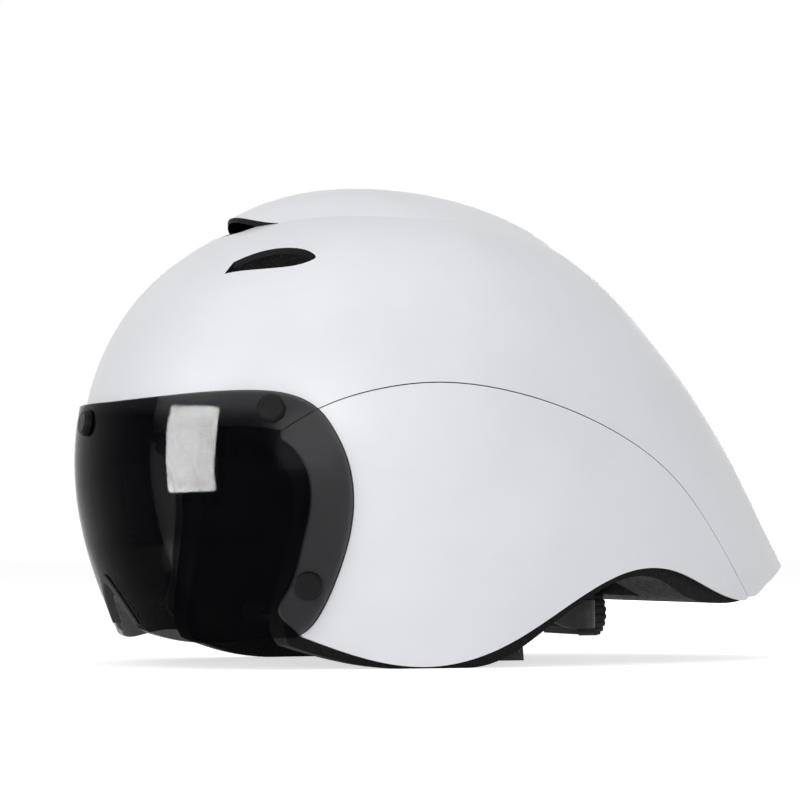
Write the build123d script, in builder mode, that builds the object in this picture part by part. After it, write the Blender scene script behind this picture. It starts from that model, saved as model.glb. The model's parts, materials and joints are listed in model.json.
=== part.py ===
from build123d import *
import math
import os
from bisect import bisect_right

# Short-tailed time trial helmet with a wrap-round visor.
# The front looks along -Y, the tail along +Y, the wearer's left is +X and Z is up.
# The origin is at the middle of the length and width, on the surface that the flaps stand on.

# Driving sizes of the whole helmet
helmet_length = 350.0
helmet_width = 206.0
helmet_height = 219.6
reach = 2 * helmet_length  # a length past every edge, for cuts and trims

# Hard shell
shell_wall = 2.2
parting_gap = 0.5
foam_gap = 0.3
foam_joint_y = 14.0  # where the liner round the head meets the tail block

# Visor
lens_stand_off = 1.2
lens_wall = 1.8
cap_radius = 6.0
cap_proud = 2.8
cap_bevel = 1.1
cap_fit = 0.05
cap_magnet_radius = 4.2
cap_magnet_depth = 2.6
magnet_fit = 0.05
seat_gap = 0.3
shell_magnet_radius = 4.2
seal_wall = 0.9
seal_band = 2.6
notch_low_z = 0.023 * helmet_height
notch_apex_z = 0.172 * helmet_height
notch_half_width = 24.0
notch_shares = [(1.0, 0.0), (0.66, 0.44), (0.32, 0.84), (0.0, 1.0)]

# Shape of the smooth envelope: a round body about a core point, tapered towards the tail
half_width = helmet_width / 2
core_y = -0.131 * helmet_length
core_z = 0.433 * helmet_height
taper_start = -0.16 * helmet_length
taper_span = 0.743 * helmet_length
taper_share = 0.62
taper_power = 1.9
width_power = 2.15
length_power = 2.35
fan_y = -0.074 * helmet_length
fan_z = -0.273 * helmet_height
fan_base = 0.14 * helmet_height
fan_angles = [20, 30, 40, 50, 60, 70, 80, 90, 100, 110, 120, 130, 140, 150, 162]
arch_points_count = 17
profile_samples = 400
bisections = 40

# Outlines in side view, each point a share of the length and of the height
side_profile_shares = [
    (-0.131, -0.355), (-0.274, -0.250), (-0.386, -0.068), (-0.443, 0.114), (-0.477, 0.264),
    (-0.490, 0.401), (-0.484, 0.519), (-0.459, 0.647), (-0.410, 0.774), (-0.331, 0.874),
    (-0.231, 0.934), (-0.117, 0.956), (0.011, 0.947), (0.126, 0.899), (0.240, 0.779),
    (0.336, 0.626), (0.421, 0.439), (0.499, 0.219), (0.571, -0.023), (0.571, -0.205),
    (0.440, -0.364), (0.211, -0.446), (0.011, -0.419),
]
parting_line_shares = [
    (-0.323, 0.470), (-0.273, 0.519), (-0.204, 0.554), (-0.125, 0.569), (-0.040, 0.559),
    (0.052, 0.528), (0.152, 0.474), (0.261, 0.374), (0.334, 0.248), (0.386, 0.135),
]
tail_edge_shares = [
    (0.386, 0.135), (0.405, 0.140), (0.426, 0.158), (0.449, 0.174), (0.486, 0.200), (0.520, 0.212),
]
brow_edge_shares = [(-0.480, 0.464), (-0.405, 0.477), (-0.353, 0.478), (-0.323, 0.470)]
face_edge_shares = [
    (-0.323, 0.453), (-0.302, 0.420), (-0.288, 0.343), (-0.295, 0.245), (-0.309, 0.147),
    (-0.315, 0.116), (-0.306, 0.094), (-0.286, 0.064),
]
lower_edge_shares = [
    (-0.286, 0.064), (-0.260, 0.048), (-0.191, 0.014), (-0.113, 0.005), (-0.041, 0.034),
    (0.028, 0.091), (0.102, 0.158), (0.167, 0.194), (0.239, 0.192), (0.316, 0.149), (0.378, 0.127),
]
lens_top_shares = [
    (-0.485, 0.534), (-0.411, 0.546), (-0.370, 0.549), (-0.332, 0.546), (-0.305, 0.534),
    (-0.282, 0.509), (-0.265, 0.470), (-0.251, 0.421), (-0.241, 0.338), (-0.246, 0.245),
    (-0.257, 0.177), (-0.271, 0.114), (-0.282, 0.083), (-0.300, 0.062),
]
lens_bottom_shares = [(-0.300, 0.062), (-0.355, 0.056), (-0.413, 0.056), (-0.430, 0.067), (-0.446, 0.085)]
liner_face_shares = [
    (-0.405, 0.494), (-0.353, 0.492), (-0.314, 0.455), (-0.290, 0.405), (-0.279, 0.343),
    (-0.286, 0.245), (-0.300, 0.147), (-0.306, 0.100), (-0.297, 0.046),
]
liner_front_low_shares = [(-0.297, 0.046), (-0.260, 0.026), (-0.203, 0.005), (-0.160, 0.0)]
liner_rear_low_shares = [
    (-0.074, 0.0), (-0.034, 0.012), (0.028, 0.070), (0.100, 0.142), (0.167, 0.180), (0.217, 0.172),
    (0.257, 0.141), (0.326, 0.123), (0.369, 0.127), (0.426, 0.157), (0.520, 0.206),
]

# Crown scoop: stations along the crown with its rise and its half width
scoop_station_shares = [-0.326, -0.274, -0.203, -0.123, -0.043, 0.040, 0.109, 0.171]
scoop_rises = [5.5, 7.4, 9.4, 9.7, 8.5, 6.2, 3.6, -0.5]
scoop_half_widths = [27.0, 31.0, 38.0, 46.0, 48.0, 44.0, 34.0, 22.0]
scoop_skirt = 1.2
scoop_last_open = 6  # stations that the air space under the scoop runs through
mouth_half_width = 27.0
mouth_side_y = -0.263 * helmet_length
mouth_brow_y = -0.300 * helmet_length
lip_half_width = 25.0
lip_side_y = -0.269 * helmet_length
lip_front_y = -0.320 * helmet_length

# Side vents, seen from above: shares of the half width and of the length, from the tip round the rear
vent_shares = [
    (0.459, -0.356), (0.566, -0.319), (0.631, -0.286), (0.647, -0.264), (0.637, -0.2525),
    (0.612, -0.2545), (0.555, -0.2690), (0.479, -0.3055), (0.433, -0.341),
]
vent_centre = (56.0, -108.0)
vent_pocket_margin = 0.8
vent_floor_z = 0.73 * helmet_height
channel_x = (46.0, 58.0)
channel_y = (-108.0, -80.0)
channel_z = (134.0, 172.0)

# Head cavity in the foam
cavity_y = -34.0
cavity_z = 85.0
cavity_half_width = 80.0
cavity_half_length = 105.0
cavity_rise = 95.0
groove_half_width = 10.0
groove_depth = 7.0
groove_front_y = -90.0
groove_rear_y = 48.0
groove_low_z = 110.0
scoop_port_half_width = 14.0
scoop_port_front_y = -100.0
scoop_port_rear_y = -72.0
scoop_port_floor_z = 140.0

# Comfort pads
pad_thick = 5.5
pad_gap = 0.3
pad_round = 5.0
brow_pad_width = 112.0
brow_pad_height = 22.0
brow_pad_z = 124.0
crown_pad_x = 29.0
crown_pad_width = 19.0
crown_pad_length = 96.0
crown_pad_y = -28.0
side_pad_y = 2.0
side_pad_z = 106.0
side_pad_length = 48.0
side_pad_height = 24.0

# Rear cradle and dial: the pinion in the middle drives the racks of both arms
temple_y = -41.0
temple_z = 70.0
dial_z = 22.0
rack_thick = 2.0
rack_gap = 0.4
rack_height = 13.0
rack_plane_y = 64.5  # half way between the two racks
rack_play = 0.2
slot_play = 0.4
teeth = 10
pinion_pitch_radius = 3.0
tooth_addendum = 0.5
tooth_dedendum = 0.75
tooth_share = 0.34
tooth_lean = 20.0
tooth_tip_half = 0.14
tooth_root_half = 0.36
rack_travel = 4.8
rack_end = 2.6
arm_straight = 24.0
arm_bend = (48.0, 43.0)
arm_side_x = 66.0
arm_side_y = 0.0
eye_radius = 7.0
pin_radius = 3.0
pin_play = 0.05
pin_tip_x = 90.5
anchor_face_x = 77.6
anchor_flange_radius = 8.0
anchor_flange = 1.6
anchor_body_radius = 5.0
anchor_depth = 13.0
arm_rear_y = 48.0
arm_low_shares = [(1.0, -0.135), (0.798, -0.052), (0.461, 0.354), (0.18, 0.729), (0.0, 0.854)]
arm_high_shares = [(0.0, 1.146), (0.18, 0.969), (0.461, 0.625), (0.798, 0.229), (1.0, 0.135)]

housing_half_width = 19.0
housing_wall = 3.2
housing_front = 2.0
cover_thick = 2.4
shaft_radius = 2.0
shaft_play = 0.05
knob_radius = 11.0
knob_depth = 9.0
knob_gap = 0.3
knob_ribs = 18
knob_rib_radius = 1.1
screw_radius = 1.1
screw_head_radius = 1.6
screw_head = 0.7
screw_play = 0.05
screw_x = 15.5
wing_thick = 2.0
wing_side = (38.0, 48.0)
wing_middle_y = 61.5
wing_low_z = 30.5
wing_top_z = 60.0
wing_shares = [(0.92, 0.0), (1.0, 0.42), (0.68, 1.0), (0.0, 0.76)]
cradle_pad_width = 34.0
cradle_pad_height = 15.0
cradle_pad_thick = 3.5
cradle_pad_round = 3.0

blade_radius = 113.5
blade_thick = 1.8
blade_half_width = 6.0
blade_low_angle = -20.4
blade_high_angle = 3.0
rail_low_angle = -8.0
rail_high_angle = 9.0
rail_wall = 1.6
rail_lip = 2.4
rail_play = 0.3
rail_room_front = 8.0
rail_room_low_angle = -18.0
rail_room_high_angle = 12.0
dial_room_half = 21.5
dial_room_front_y = 64.0
dial_room_rear_y = 92.0
dial_room_top_z = 48.0

# Webbing and buckle
web_width = 15.0
web_thick = 1.2
web_sag = 1.0
anchor_plate_thick = 3.0
anchor_plate_width = 20.0
anchor_plate_height = 9.0
anchor_wall_gap = 0.75
front_anchor_y = -66.0
front_anchor_z = 22.0
rear_anchor_y = 2.0
rear_anchor_z = 23.0
divider_x = 54.0
divider_y = -38.0
divider_z = 10.0
divider_length = 18.0
divider_width = 26.0
divider_thick = 4.0
divider_round = 1.2
web_seat = 0.35
web_front_end_y = -46.0
web_rear_end_y = -30.0
buckle_z = 9.0
buckle_height = 8.0
buckle_width = 22.0
female_inner_x = 12.0
female_outer_x = 38.0
male_outer_x = -4.0
prong_length = 15.0
prong_width = 3.2
guide_width = 4.0
buckle_wall = 1.5
buckle_play = 0.3
buckle_round = 1.5
window_front_x = 17.0
window_rear_x = 27.0
keeper_x = -33.0
keeper_length = 5.0
keeper_wall = 1.4
keeper_play = 0.3
keeper_z = 9.05
keeper_play_high = 0.55


def placed(shares):
    """Turn points given as shares into points in millimetres."""
    return [(y * helmet_length, z * helmet_height) for y, z in shares]


# The side profile as a smooth closed curve, read as a radius about the core point
with BuildLine() as side_profile:
    Spline(*placed(side_profile_shares), periodic=True)
profile_table = []
for step in range(profile_samples):
    spot = side_profile.edge() @ (step / profile_samples)
    offset_y, offset_z = spot.X - core_y, spot.Y - core_z
    profile_table.append((math.atan2(offset_z, offset_y), math.hypot(offset_y, offset_z)))
profile_table.sort()
profile_angles = [a for a, r in profile_table]
profile_radii = [r for a, r in profile_table]


def profile_radius(angle):
    """Distance from the core point to the side profile, at an angle in radians."""
    after = bisect_right(profile_angles, angle) % profile_samples
    before = after - 1
    span = (profile_angles[after] - profile_angles[before]) % math.tau
    share = ((angle - profile_angles[before]) % math.tau) / span
    return profile_radii[before] + share * (profile_radii[after] - profile_radii[before])


def taper(y):
    """Share of the full width that is left at a place along the length."""
    along = min(max((y - taper_start) / taper_span, 0), 1)
    return 1 - taper_share * along**taper_power


def fullness(x, y, z, inset):
    """Below 1 inside the envelope drawn in by inset, and above 1 outside it."""
    angle = math.atan2(z - core_z, y - core_y)
    lengthwise = math.hypot(y - core_y, z - core_z) / (profile_radius(angle) - inset)
    across = abs(x) / ((half_width - inset) * taper(y))
    return across**width_power + lengthwise**length_power


def distance_to_surface(origin, direction, inset, low=0.0):
    """Distance from a point inside the envelope, along a direction, to its surface."""
    near, far = low, helmet_length
    for _ in range(bisections):
        middle = (near + far) / 2
        spot = origin + direction * middle
        if fullness(spot.X, spot.Y, spot.Z, inset) < 1:
            near = middle
        else:
            far = middle
    return near


def crown_height(x, y):
    """Height of the smooth envelope over a place in plan view."""
    return core_z + distance_to_surface(Vector(x, y, core_z), Vector(0, 0, 1), 0)


def seat_plane(x, y, z):
    """Plane that lies on the hard shell's surface, facing outwards, near a given place."""
    core = Vector(0, core_y, core_z)
    direction = (Vector(x, y, z) - core).normalized()
    spot = core + direction * distance_to_surface(core, direction, 0)
    step = shell_wall / 10
    slope = []
    for axis in (Vector(step, 0, 0), Vector(0, step, 0), Vector(0, 0, step)):
        ahead, behind = spot + axis, spot - axis
        slope.append(fullness(ahead.X, ahead.Y, ahead.Z, 0) - fullness(behind.X, behind.Y, behind.Z, 0))
    return Plane(origin=spot, z_dir=Vector(*slope))


def arch(angle, inset):
    """Points of the envelope's arch in one plane of the fan, from one side to the other."""
    outwards = Vector(0, -math.cos(angle), math.sin(angle))
    middle = Vector(0, fan_y, fan_z) + outwards * fan_base
    points = []
    for step in range(arch_points_count):
        lean = math.pi * (step / (arch_points_count - 1) - 1 / 2)
        direction = Vector(math.sin(lean), 0, 0) + outwards * math.cos(lean)
        length = distance_to_surface(middle, direction, inset)
        points.append((length * math.sin(lean), fan_base + length * math.cos(lean)))
    return points


def envelope(inset):
    """Solid under the envelope drawn in by inset, lofted through a fan of arches."""
    with BuildPart() as body:
        for degrees in fan_angles:
            angle = math.radians(degrees)
            facing = (0, -math.sin(angle), -math.cos(angle))
            points = arch(angle, inset)
            with BuildSketch(Plane(origin=(0, fan_y, fan_z), x_dir=(1, 0, 0), z_dir=facing)):
                with BuildLine():
                    Spline(*points)
                    Line(points[-1], points[0])
                make_face()
        loft()
    return body.part


def head_form(inset):
    """Egg-shaped form of the head cavity drawn in by inset, open downwards."""
    with BuildPart() as form:
        Sphere(1)
        scale(by=(cavity_half_width - inset, cavity_half_length - inset, cavity_rise - inset))
        split(bisect_by=Plane.XY)
        with BuildSketch(Plane.XY):
            Ellipse(cavity_half_width - inset, cavity_half_length - inset)
        extrude(amount=-helmet_height)
    return form.part.moved(Location((0, cavity_y, cavity_z)))


def scoop_form(wall, stations):
    """Solid under the crown scoop, drawn in by wall."""
    with BuildPart() as form:
        for k in range(stations):
            y = scoop_station_shares[k] * helmet_length
            width = scoop_half_widths[k] - wall
            points = []
            for share in (-1, -0.75, -0.5, -0.25, 0, 0.25, 0.5, 0.75, 1):
                x = share * width
                rise = (scoop_rises[k] + scoop_skirt) * (1 - share**2) ** 1.5
                points.append((x, crown_height(x, y) + rise - scoop_skirt - wall))
            with BuildSketch(Plane(origin=(0, y, 0), x_dir=(1, 0, 0), z_dir=(0, -1, 0))):
                with BuildLine():
                    Spline(*points)
                    Line(points[-1], points[0])
                make_face()
        loft()
    return form.part


def behind_arc(half, side_y, front_y):
    """Block behind an arc in plan view, as a trim for the scoop."""
    rear_y = helmet_length / 2
    with BuildPart() as block:
        with BuildSketch():
            with BuildLine():
                ThreePointArc((-half, side_y), (0, front_y), (half, side_y))
                Polyline((half, side_y), (2 * half, side_y), (2 * half, rear_y), (-2 * half, rear_y),
                         (-2 * half, side_y), (-half, side_y))
            make_face()
        extrude(amount=reach)
    return block.part


def widened(points, centre, margin):
    """Outline points moved away from a centre by margin."""
    moved = []
    for point in points:
        away = Vector(point[0] - centre[0], point[1] - centre[1], 0)
        spot = away * (1 + margin / away.length)
        moved.append((centre[0] + spot.X, centre[1] + spot.Y))
    return moved


def vent_prism(side, margin, floor_z):
    """Leaf-shaped prism through a side vent, widened by margin, from a floor up."""
    points = [(x * half_width, y * helmet_length) for x, y in vent_shares]
    outline = [(side * x, y) for x, y in widened(points, vent_centre, margin)]
    with BuildPart() as prism:
        with BuildSketch(Plane.XY.offset(floor_z)):
            with BuildLine():
                Spline(*outline)
                Line(outline[-1], outline[0])
            make_face()
        extrude(amount=helmet_height)
    return prism.part


def between_arcs(inner, outer, low, high, half):
    """Bar that follows an arc about the temple pins, seen from the side."""
    centre = (temple_y, temple_z)
    with BuildPart() as bar:
        with BuildSketch(Plane.YZ):
            with BuildLine():
                first = CenterArc(centre, inner, low, high - low)
                second = CenterArc(centre, outer, low, high - low)
                Line(first @ 0, second @ 0)
                Line(first @ 1, second @ 1)
            make_face()
        extrude(amount=half, both=True)
    return bar.part


def notch_prism(margin):
    """Prism through the visor's nose notch, seen from the front and widened by margin."""
    half = notch_half_width + margin
    rise = notch_apex_z + margin - notch_low_z
    right = [(half * x, notch_low_z + rise * z) for x, z in notch_shares]
    left = [(-x, z) for x, z in reversed(right[:-1])]
    with BuildPart() as prism:
        with BuildSketch(Plane.XZ):
            with BuildLine():
                Spline(*right, *left)
                Line(left[-1], right[0])
            make_face()
        extrude(amount=reach)
    return prism.part


def pad_layer():
    """Layer inside the head cavity that the comfort pads are cut from."""
    with BuildPart() as layer:
        add(head_form(pad_gap))
        add(head_form(pad_gap + pad_thick), mode=Mode.SUBTRACT)
    return layer.part


def block(x_low, x_high, y_low, y_high, z_low, z_high):
    """Block between two corners."""
    with BuildPart() as body:
        with BuildSketch(Plane.XY.offset(z_low)):
            with Locations(((x_low + x_high) / 2, (y_low + y_high) / 2)):
                Rectangle(x_high - x_low, y_high - y_low)
        extrude(amount=z_high - z_low)
    return body.part


def side_plane(side, x):
    """Upright plane across the temple pins' axis at a distance from the middle, facing outwards."""
    return Plane(origin=(side * x, temple_y, temple_z), x_dir=(0, 1, 0), z_dir=(side, 0, 0))


def webbing(start, end, sag):
    """Flat band between two points that hangs by sag in its own upright plane."""
    run = Vector(end[0] - start[0], end[1] - start[1], 0)
    drop = end[2] - start[2]
    plane = Plane(origin=start, x_dir=run, z_dir=run.cross(Vector(0, 0, 1)))
    with BuildPart() as band:
        with BuildSketch(plane):
            with BuildLine():
                ThreePointArc((0, 0), (run.length / 2, drop / 2 - sag), (run.length, drop))
            trace(line_width=web_thick)
        extrude(amount=web_width / 2, both=True)
    return band.part


def save(part, name):
    """Label a finished piece and write its file."""
    part.label = name
    export_step(part, f"parts/{name}.step")


os.makedirs("parts", exist_ok=True)

# Forms that several pieces share
shell_outside = envelope(0)
shell_inside = envelope(shell_wall)
with BuildPart() as shell_layer:
    add(shell_outside)
    add(shell_inside, mode=Mode.SUBTRACT)
cavity = head_form(0)
with BuildPart() as scoop_air:
    add(scoop_form(shell_wall, scoop_last_open))
    add(behind_arc(lip_half_width, lip_side_y, lip_front_y), mode=Mode.INTERSECT)
with BuildPart() as scoop_body:
    add(scoop_form(0, len(scoop_rises)))
    add(behind_arc(mouth_half_width, mouth_side_y, mouth_brow_y), mode=Mode.INTERSECT)
    add(shell_inside, mode=Mode.SUBTRACT)

# Magnet places on the shell: top centre, then an upper and a lower one on each side
magnet_planes = [seat_plane(0, -0.494 * helmet_length, 0.494 * helmet_height)]
for side in (1, -1):
    for across, along, up in ((0.44, -0.339, 0.513), (0.443, -0.290, 0.161)):
        place = (side * across * helmet_width, along * helmet_length, up * helmet_height)
        magnet_planes.append(seat_plane(*place))
lens_inner_inset = -lens_stand_off
lens_outer_inset = -(lens_stand_off + lens_wall)


def above_seat(plane, inset):
    """Height over a magnet's seat at which its axis meets the envelope at an inset."""
    return distance_to_surface(plane.origin, plane.z_dir, inset)


# Upper shell: crown, forehead band, scoop and tail, down to the parting line
with BuildPart() as upper_shell:
    add(shell_layer.part)
    with BuildSketch(Plane.YZ):
        with BuildLine():
            Spline(*placed(parting_line_shares))
            Spline(*placed(tail_edge_shares))
            end = placed(tail_edge_shares)[-1]
            start = placed(brow_edge_shares)[0]
            Polyline(end, (reach, end[1]), (reach, reach), (-reach, reach), (-reach, start[1]), start)
            Spline(*placed(brow_edge_shares))
        make_face()
    extrude(amount=helmet_width, both=True, mode=Mode.INTERSECT)
    add(scoop_body.part)
    add(scoop_air.part, mode=Mode.SUBTRACT)
    for side in (1, -1):
        add(vent_prism(side, 0, core_z), mode=Mode.SUBTRACT)
    for plane in magnet_planes:
        with BuildSketch(plane):
            Circle(shell_magnet_radius + magnet_fit)
        extrude(amount=2 * shell_wall, both=True, mode=Mode.SUBTRACT)
save(upper_shell.part, "upper_shell")

# Side shells: temples, ears and the lower rear edge, below the parting line
side_top = [(y, z - parting_gap) for y, z in placed(parting_line_shares)]
lower_edge = placed(lower_edge_shares)
face_edge = placed(face_edge_shares)
with BuildPart() as side_shell_left:
    add(shell_layer.part)
    with BuildSketch(Plane.YZ):
        with BuildLine():
            Spline(*side_top)
            Line(side_top[-1], lower_edge[-1])
            Spline(*lower_edge)
            Spline(*face_edge)
            Line(face_edge[0], side_top[0])
        make_face()
    extrude(amount=helmet_width, mode=Mode.INTERSECT)
    for plane in magnet_planes:
        with BuildSketch(plane):
            Circle(shell_magnet_radius + magnet_fit)
        extrude(amount=2 * shell_wall, both=True, mode=Mode.SUBTRACT)
save(side_shell_left.part, "side_shell_left")
with BuildPart() as side_shell_right:
    add(side_shell_left.part.mirror(Plane.YZ))
save(side_shell_right.part, "side_shell_right")

# Room in the foam for the air groove, the scoop's port, the height rail and the dial
with BuildPart() as air_groove:
    add(head_form(-groove_depth))
    add(block(-groove_half_width, groove_half_width, groove_front_y, groove_rear_y, groove_low_z, reach),
        mode=Mode.INTERSECT)
scoop_port = block(-scoop_port_half_width, scoop_port_half_width, scoop_port_front_y, scoop_port_rear_y,
                   scoop_port_floor_z, reach)
blade_inner = blade_radius - blade_thick / 2
blade_outer = blade_radius + blade_thick / 2
rail_half = blade_half_width + rail_play + rail_wall
rail_inner = blade_inner - rail_play - rail_wall
rail_outer = blade_outer + rail_play + rail_wall
rail_room = between_arcs(rail_inner - rail_room_front, rail_outer + foam_gap, rail_room_low_angle,
                         rail_room_high_angle, rail_half + foam_gap)
dial_room = block(-dial_room_half, dial_room_half, dial_room_front_y, dial_room_rear_y, 0, dial_room_top_z)

# Foam under the shells: a liner round the head and a block that fills the tail, joined behind the crown
with BuildPart() as foam:
    add(envelope(shell_wall + foam_gap))
    with BuildSketch(Plane.YZ):
        with BuildLine():
            face = placed(liner_face_shares)
            front_low = placed(liner_front_low_shares)
            rear_low = placed(liner_rear_low_shares)
            Spline(*face)
            Spline(*front_low)
            Line(front_low[-1], rear_low[0])
            Spline(*rear_low)
            Polyline(rear_low[-1], (reach, rear_low[-1][1]), (reach, reach), (-reach, reach),
                     (-reach, face[0][1]), face[0])
        make_face()
    extrude(amount=helmet_width, both=True, mode=Mode.INTERSECT)
    for room in (cavity, scoop_air.part, air_groove.part, scoop_port, rail_room, dial_room):
        add(room, mode=Mode.SUBTRACT)
    for side in (1, -1):
        add(vent_prism(side, vent_pocket_margin, vent_floor_z), mode=Mode.SUBTRACT)
        add(block(*sorted(side * x for x in channel_x), *channel_y, *channel_z), mode=Mode.SUBTRACT)
        with BuildSketch(side_plane(side, 0)):
            Circle(anchor_body_radius + foam_gap)
        extrude(amount=anchor_face_x + anchor_depth + foam_gap, mode=Mode.SUBTRACT)
with BuildPart() as foam_liner:
    add(foam.part)
    split(bisect_by=Plane.XZ.offset(-foam_joint_y), keep=Keep.TOP)
save(foam_liner.part, "foam_liner")
with BuildPart() as tail_foam:
    add(foam.part)
    split(bisect_by=Plane.XZ.offset(-foam_joint_y - foam_gap), keep=Keep.BOTTOM)
save(tail_foam.part, "tail_foam")

# Visor lens with its nose notch and the holes for the magnet caps
lens_top = placed(lens_top_shares)
lens_bottom = placed(lens_bottom_shares)
with BuildPart() as visor_lens:
    add(envelope(lens_outer_inset))
    with BuildSketch(Plane.YZ):
        with BuildLine():
            Spline(*lens_top)
            Spline(*lens_bottom)
            Polyline(lens_bottom[-1], (-reach, lens_bottom[-1][1]), (-reach, lens_top[0][1]), lens_top[0])
        make_face()
    extrude(amount=helmet_width, both=True, mode=Mode.INTERSECT)
    add(envelope(lens_inner_inset), mode=Mode.SUBTRACT)
    add(notch_prism(0), mode=Mode.SUBTRACT)
    for plane in magnet_planes:
        with BuildSketch(plane):
            Circle(cap_radius + cap_fit)
        extrude(amount=2 * cap_radius, mode=Mode.SUBTRACT)
save(visor_lens.part, "visor_lens")

# Rubber seal that grips the edge of the nose notch
with BuildPart() as nose_seal:
    add(envelope(lens_outer_inset - seal_wall))
    add(notch_prism(seal_band), mode=Mode.INTERSECT)
    add(block(-reach, reach, -reach, core_y, lens_bottom[-1][1], core_z), mode=Mode.INTERSECT)
    add(envelope(lens_inner_inset + seal_wall), mode=Mode.SUBTRACT)
    add(notch_prism(-seal_wall), mode=Mode.SUBTRACT)
    add(visor_lens.part, mode=Mode.SUBTRACT)
save(nose_seal.part, "nose_seal")

# Magnet caps in the lens, the magnets in them and the magnets set in the shell
cap_height = lens_wall + cap_proud
with BuildPart() as cap:
    Cylinder(cap_radius, cap_height, align=(Align.CENTER, Align.CENTER, Align.MIN))
    chamfer(edges().group_by(Axis.Z)[-1], cap_bevel)
    with BuildSketch(Plane.XY):
        Circle(cap_magnet_radius + magnet_fit)
    extrude(amount=cap_magnet_depth, mode=Mode.SUBTRACT)
with BuildPart() as visor_caps:
    for plane in magnet_planes:
        add(cap.part.moved(plane.offset(above_seat(plane, lens_inner_inset)).location))
save(visor_caps.part, "visor_caps")
with BuildPart() as visor_magnets:
    for plane in magnet_planes:
        with BuildSketch(plane.offset(above_seat(plane, lens_inner_inset))):
            Circle(cap_magnet_radius)
        extrude(amount=cap_magnet_depth - magnet_fit)
save(visor_magnets.part, "visor_magnets")
with BuildPart() as shell_magnets:
    for plane in magnet_planes:
        with BuildSketch(plane.offset(-shell_wall)):
            Circle(shell_magnet_radius)
        extrude(amount=shell_wall + above_seat(plane, lens_inner_inset) - seat_gap)
save(shell_magnets.part, "shell_magnets")

# Comfort pads stuck inside the head cavity
pad_stock = pad_layer()
with BuildPart() as brow_pad:
    with BuildSketch(Plane.XZ.offset(-core_y)):
        with Locations((0, brow_pad_z)):
            RectangleRounded(brow_pad_width, brow_pad_height, pad_round)
    extrude(amount=reach)
    add(pad_stock, mode=Mode.INTERSECT)
save(brow_pad.part, "brow_pad")
with BuildPart() as crown_pads:
    with BuildSketch(Plane.XY.offset(cavity_z)):
        with Locations((crown_pad_x, crown_pad_y), (-crown_pad_x, crown_pad_y)):
            RectangleRounded(crown_pad_width, crown_pad_length, pad_round)
    extrude(amount=reach)
    add(pad_stock, mode=Mode.INTERSECT)
save(crown_pads.part, "crown_pads")
with BuildPart() as side_pads:
    with BuildSketch(Plane.YZ):
        with Locations((side_pad_y, side_pad_z)):
            RectangleRounded(side_pad_length, side_pad_height, pad_round)
    extrude(amount=reach, both=True)
    add(pad_stock, mode=Mode.INTERSECT)
save(side_pads.part, "side_pads")

# Toothed arms of the fit system, one layer of the dial housing each
tooth_pitch = math.tau * pinion_pitch_radius / teeth
tooth_slope = math.tan(math.radians(tooth_lean))
tooth_half = tooth_share * tooth_pitch / 2
rack_tip_half = tooth_half - tooth_addendum * tooth_slope
rack_base_half = tooth_half + 2 * tooth_dedendum * tooth_slope
slot_end = pinion_pitch_radius + tooth_addendum + slot_play
rack_teeth = [(k + 1 / 2) * tooth_pitch for k in range(-2, 5)]


def rack_arm(side, layer_y, teeth_side):
    """Arm from the dial to a temple, with its toothed slot, its eye and its pin."""
    tip_line = teeth_side * (pinion_pitch_radius - tooth_addendum)
    root_line = teeth_side * (pinion_pitch_radius + tooth_dedendum)
    base_line = teeth_side * (pinion_pitch_radius + 2 * tooth_dedendum)
    far_line = -teeth_side * slot_end
    slot_x = (-side * slot_end, side * (slot_end + rack_travel))
    run, rise = arm_rear_y - temple_y, temple_z - dial_z
    low, high = [[(temple_y + run * y, dial_z + rise * z) for y, z in shares]
                 for shares in (arm_low_shares, arm_high_shares)]
    with BuildPart() as arm:
        with BuildSketch():
            with BuildLine():
                Line((-side * (slot_end + rack_end), layer_y), (side * arm_straight, layer_y))
                Spline((side * arm_straight, layer_y), (side * arm_bend[0], arm_bend[1]),
                       (side * arm_side_x, arm_side_y), tangents=[(side, 0), (0, -1)])
                Line((side * arm_side_x, arm_side_y), (side * arm_side_x, temple_y - eye_radius))
            trace(line_width=rack_thick)
        extrude(amount=helmet_height)
        with BuildSketch(Plane.YZ):
            with BuildLine():
                Spline(*low)
                Line(low[-1], high[0])
                Spline(*high)
                Polyline(high[-1], (reach, high[-1][1]), (reach, low[0][1]), low[0])
            make_face()
            with Locations((temple_y, temple_z)):
                Circle(eye_radius)
        extrude(amount=reach, both=True, mode=Mode.INTERSECT)
        middle = Plane(origin=(0, layer_y, dial_z), x_dir=(1, 0, 0), z_dir=(0, -1, 0))
        with BuildSketch(middle):
            with BuildLine():
                Polyline((slot_x[0], far_line), (slot_x[1], far_line), (slot_x[1], root_line),
                         (slot_x[0], root_line), close=True)
            make_face()
        extrude(amount=rack_thick, both=True, mode=Mode.SUBTRACT)
        with BuildSketch(middle):
            for x in rack_teeth:
                with BuildLine():
                    Polyline((side * x - rack_tip_half, tip_line), (side * x + rack_tip_half, tip_line),
                             (side * x + rack_base_half, base_line), (side * x - rack_base_half, base_line),
                             close=True)
                make_face()
        extrude(amount=rack_thick / 2, both=True)
        with BuildSketch(side_plane(side, arm_side_x)):
            Circle(pin_radius)
        extrude(amount=pin_tip_x - arm_side_x)
    return arm.part


layer_shift = (rack_thick + rack_gap) / 2
save(rack_arm(1, rack_plane_y - layer_shift, 1), "rack_arm_left")
save(rack_arm(-1, rack_plane_y + layer_shift, -1), "rack_arm_right")

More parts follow.
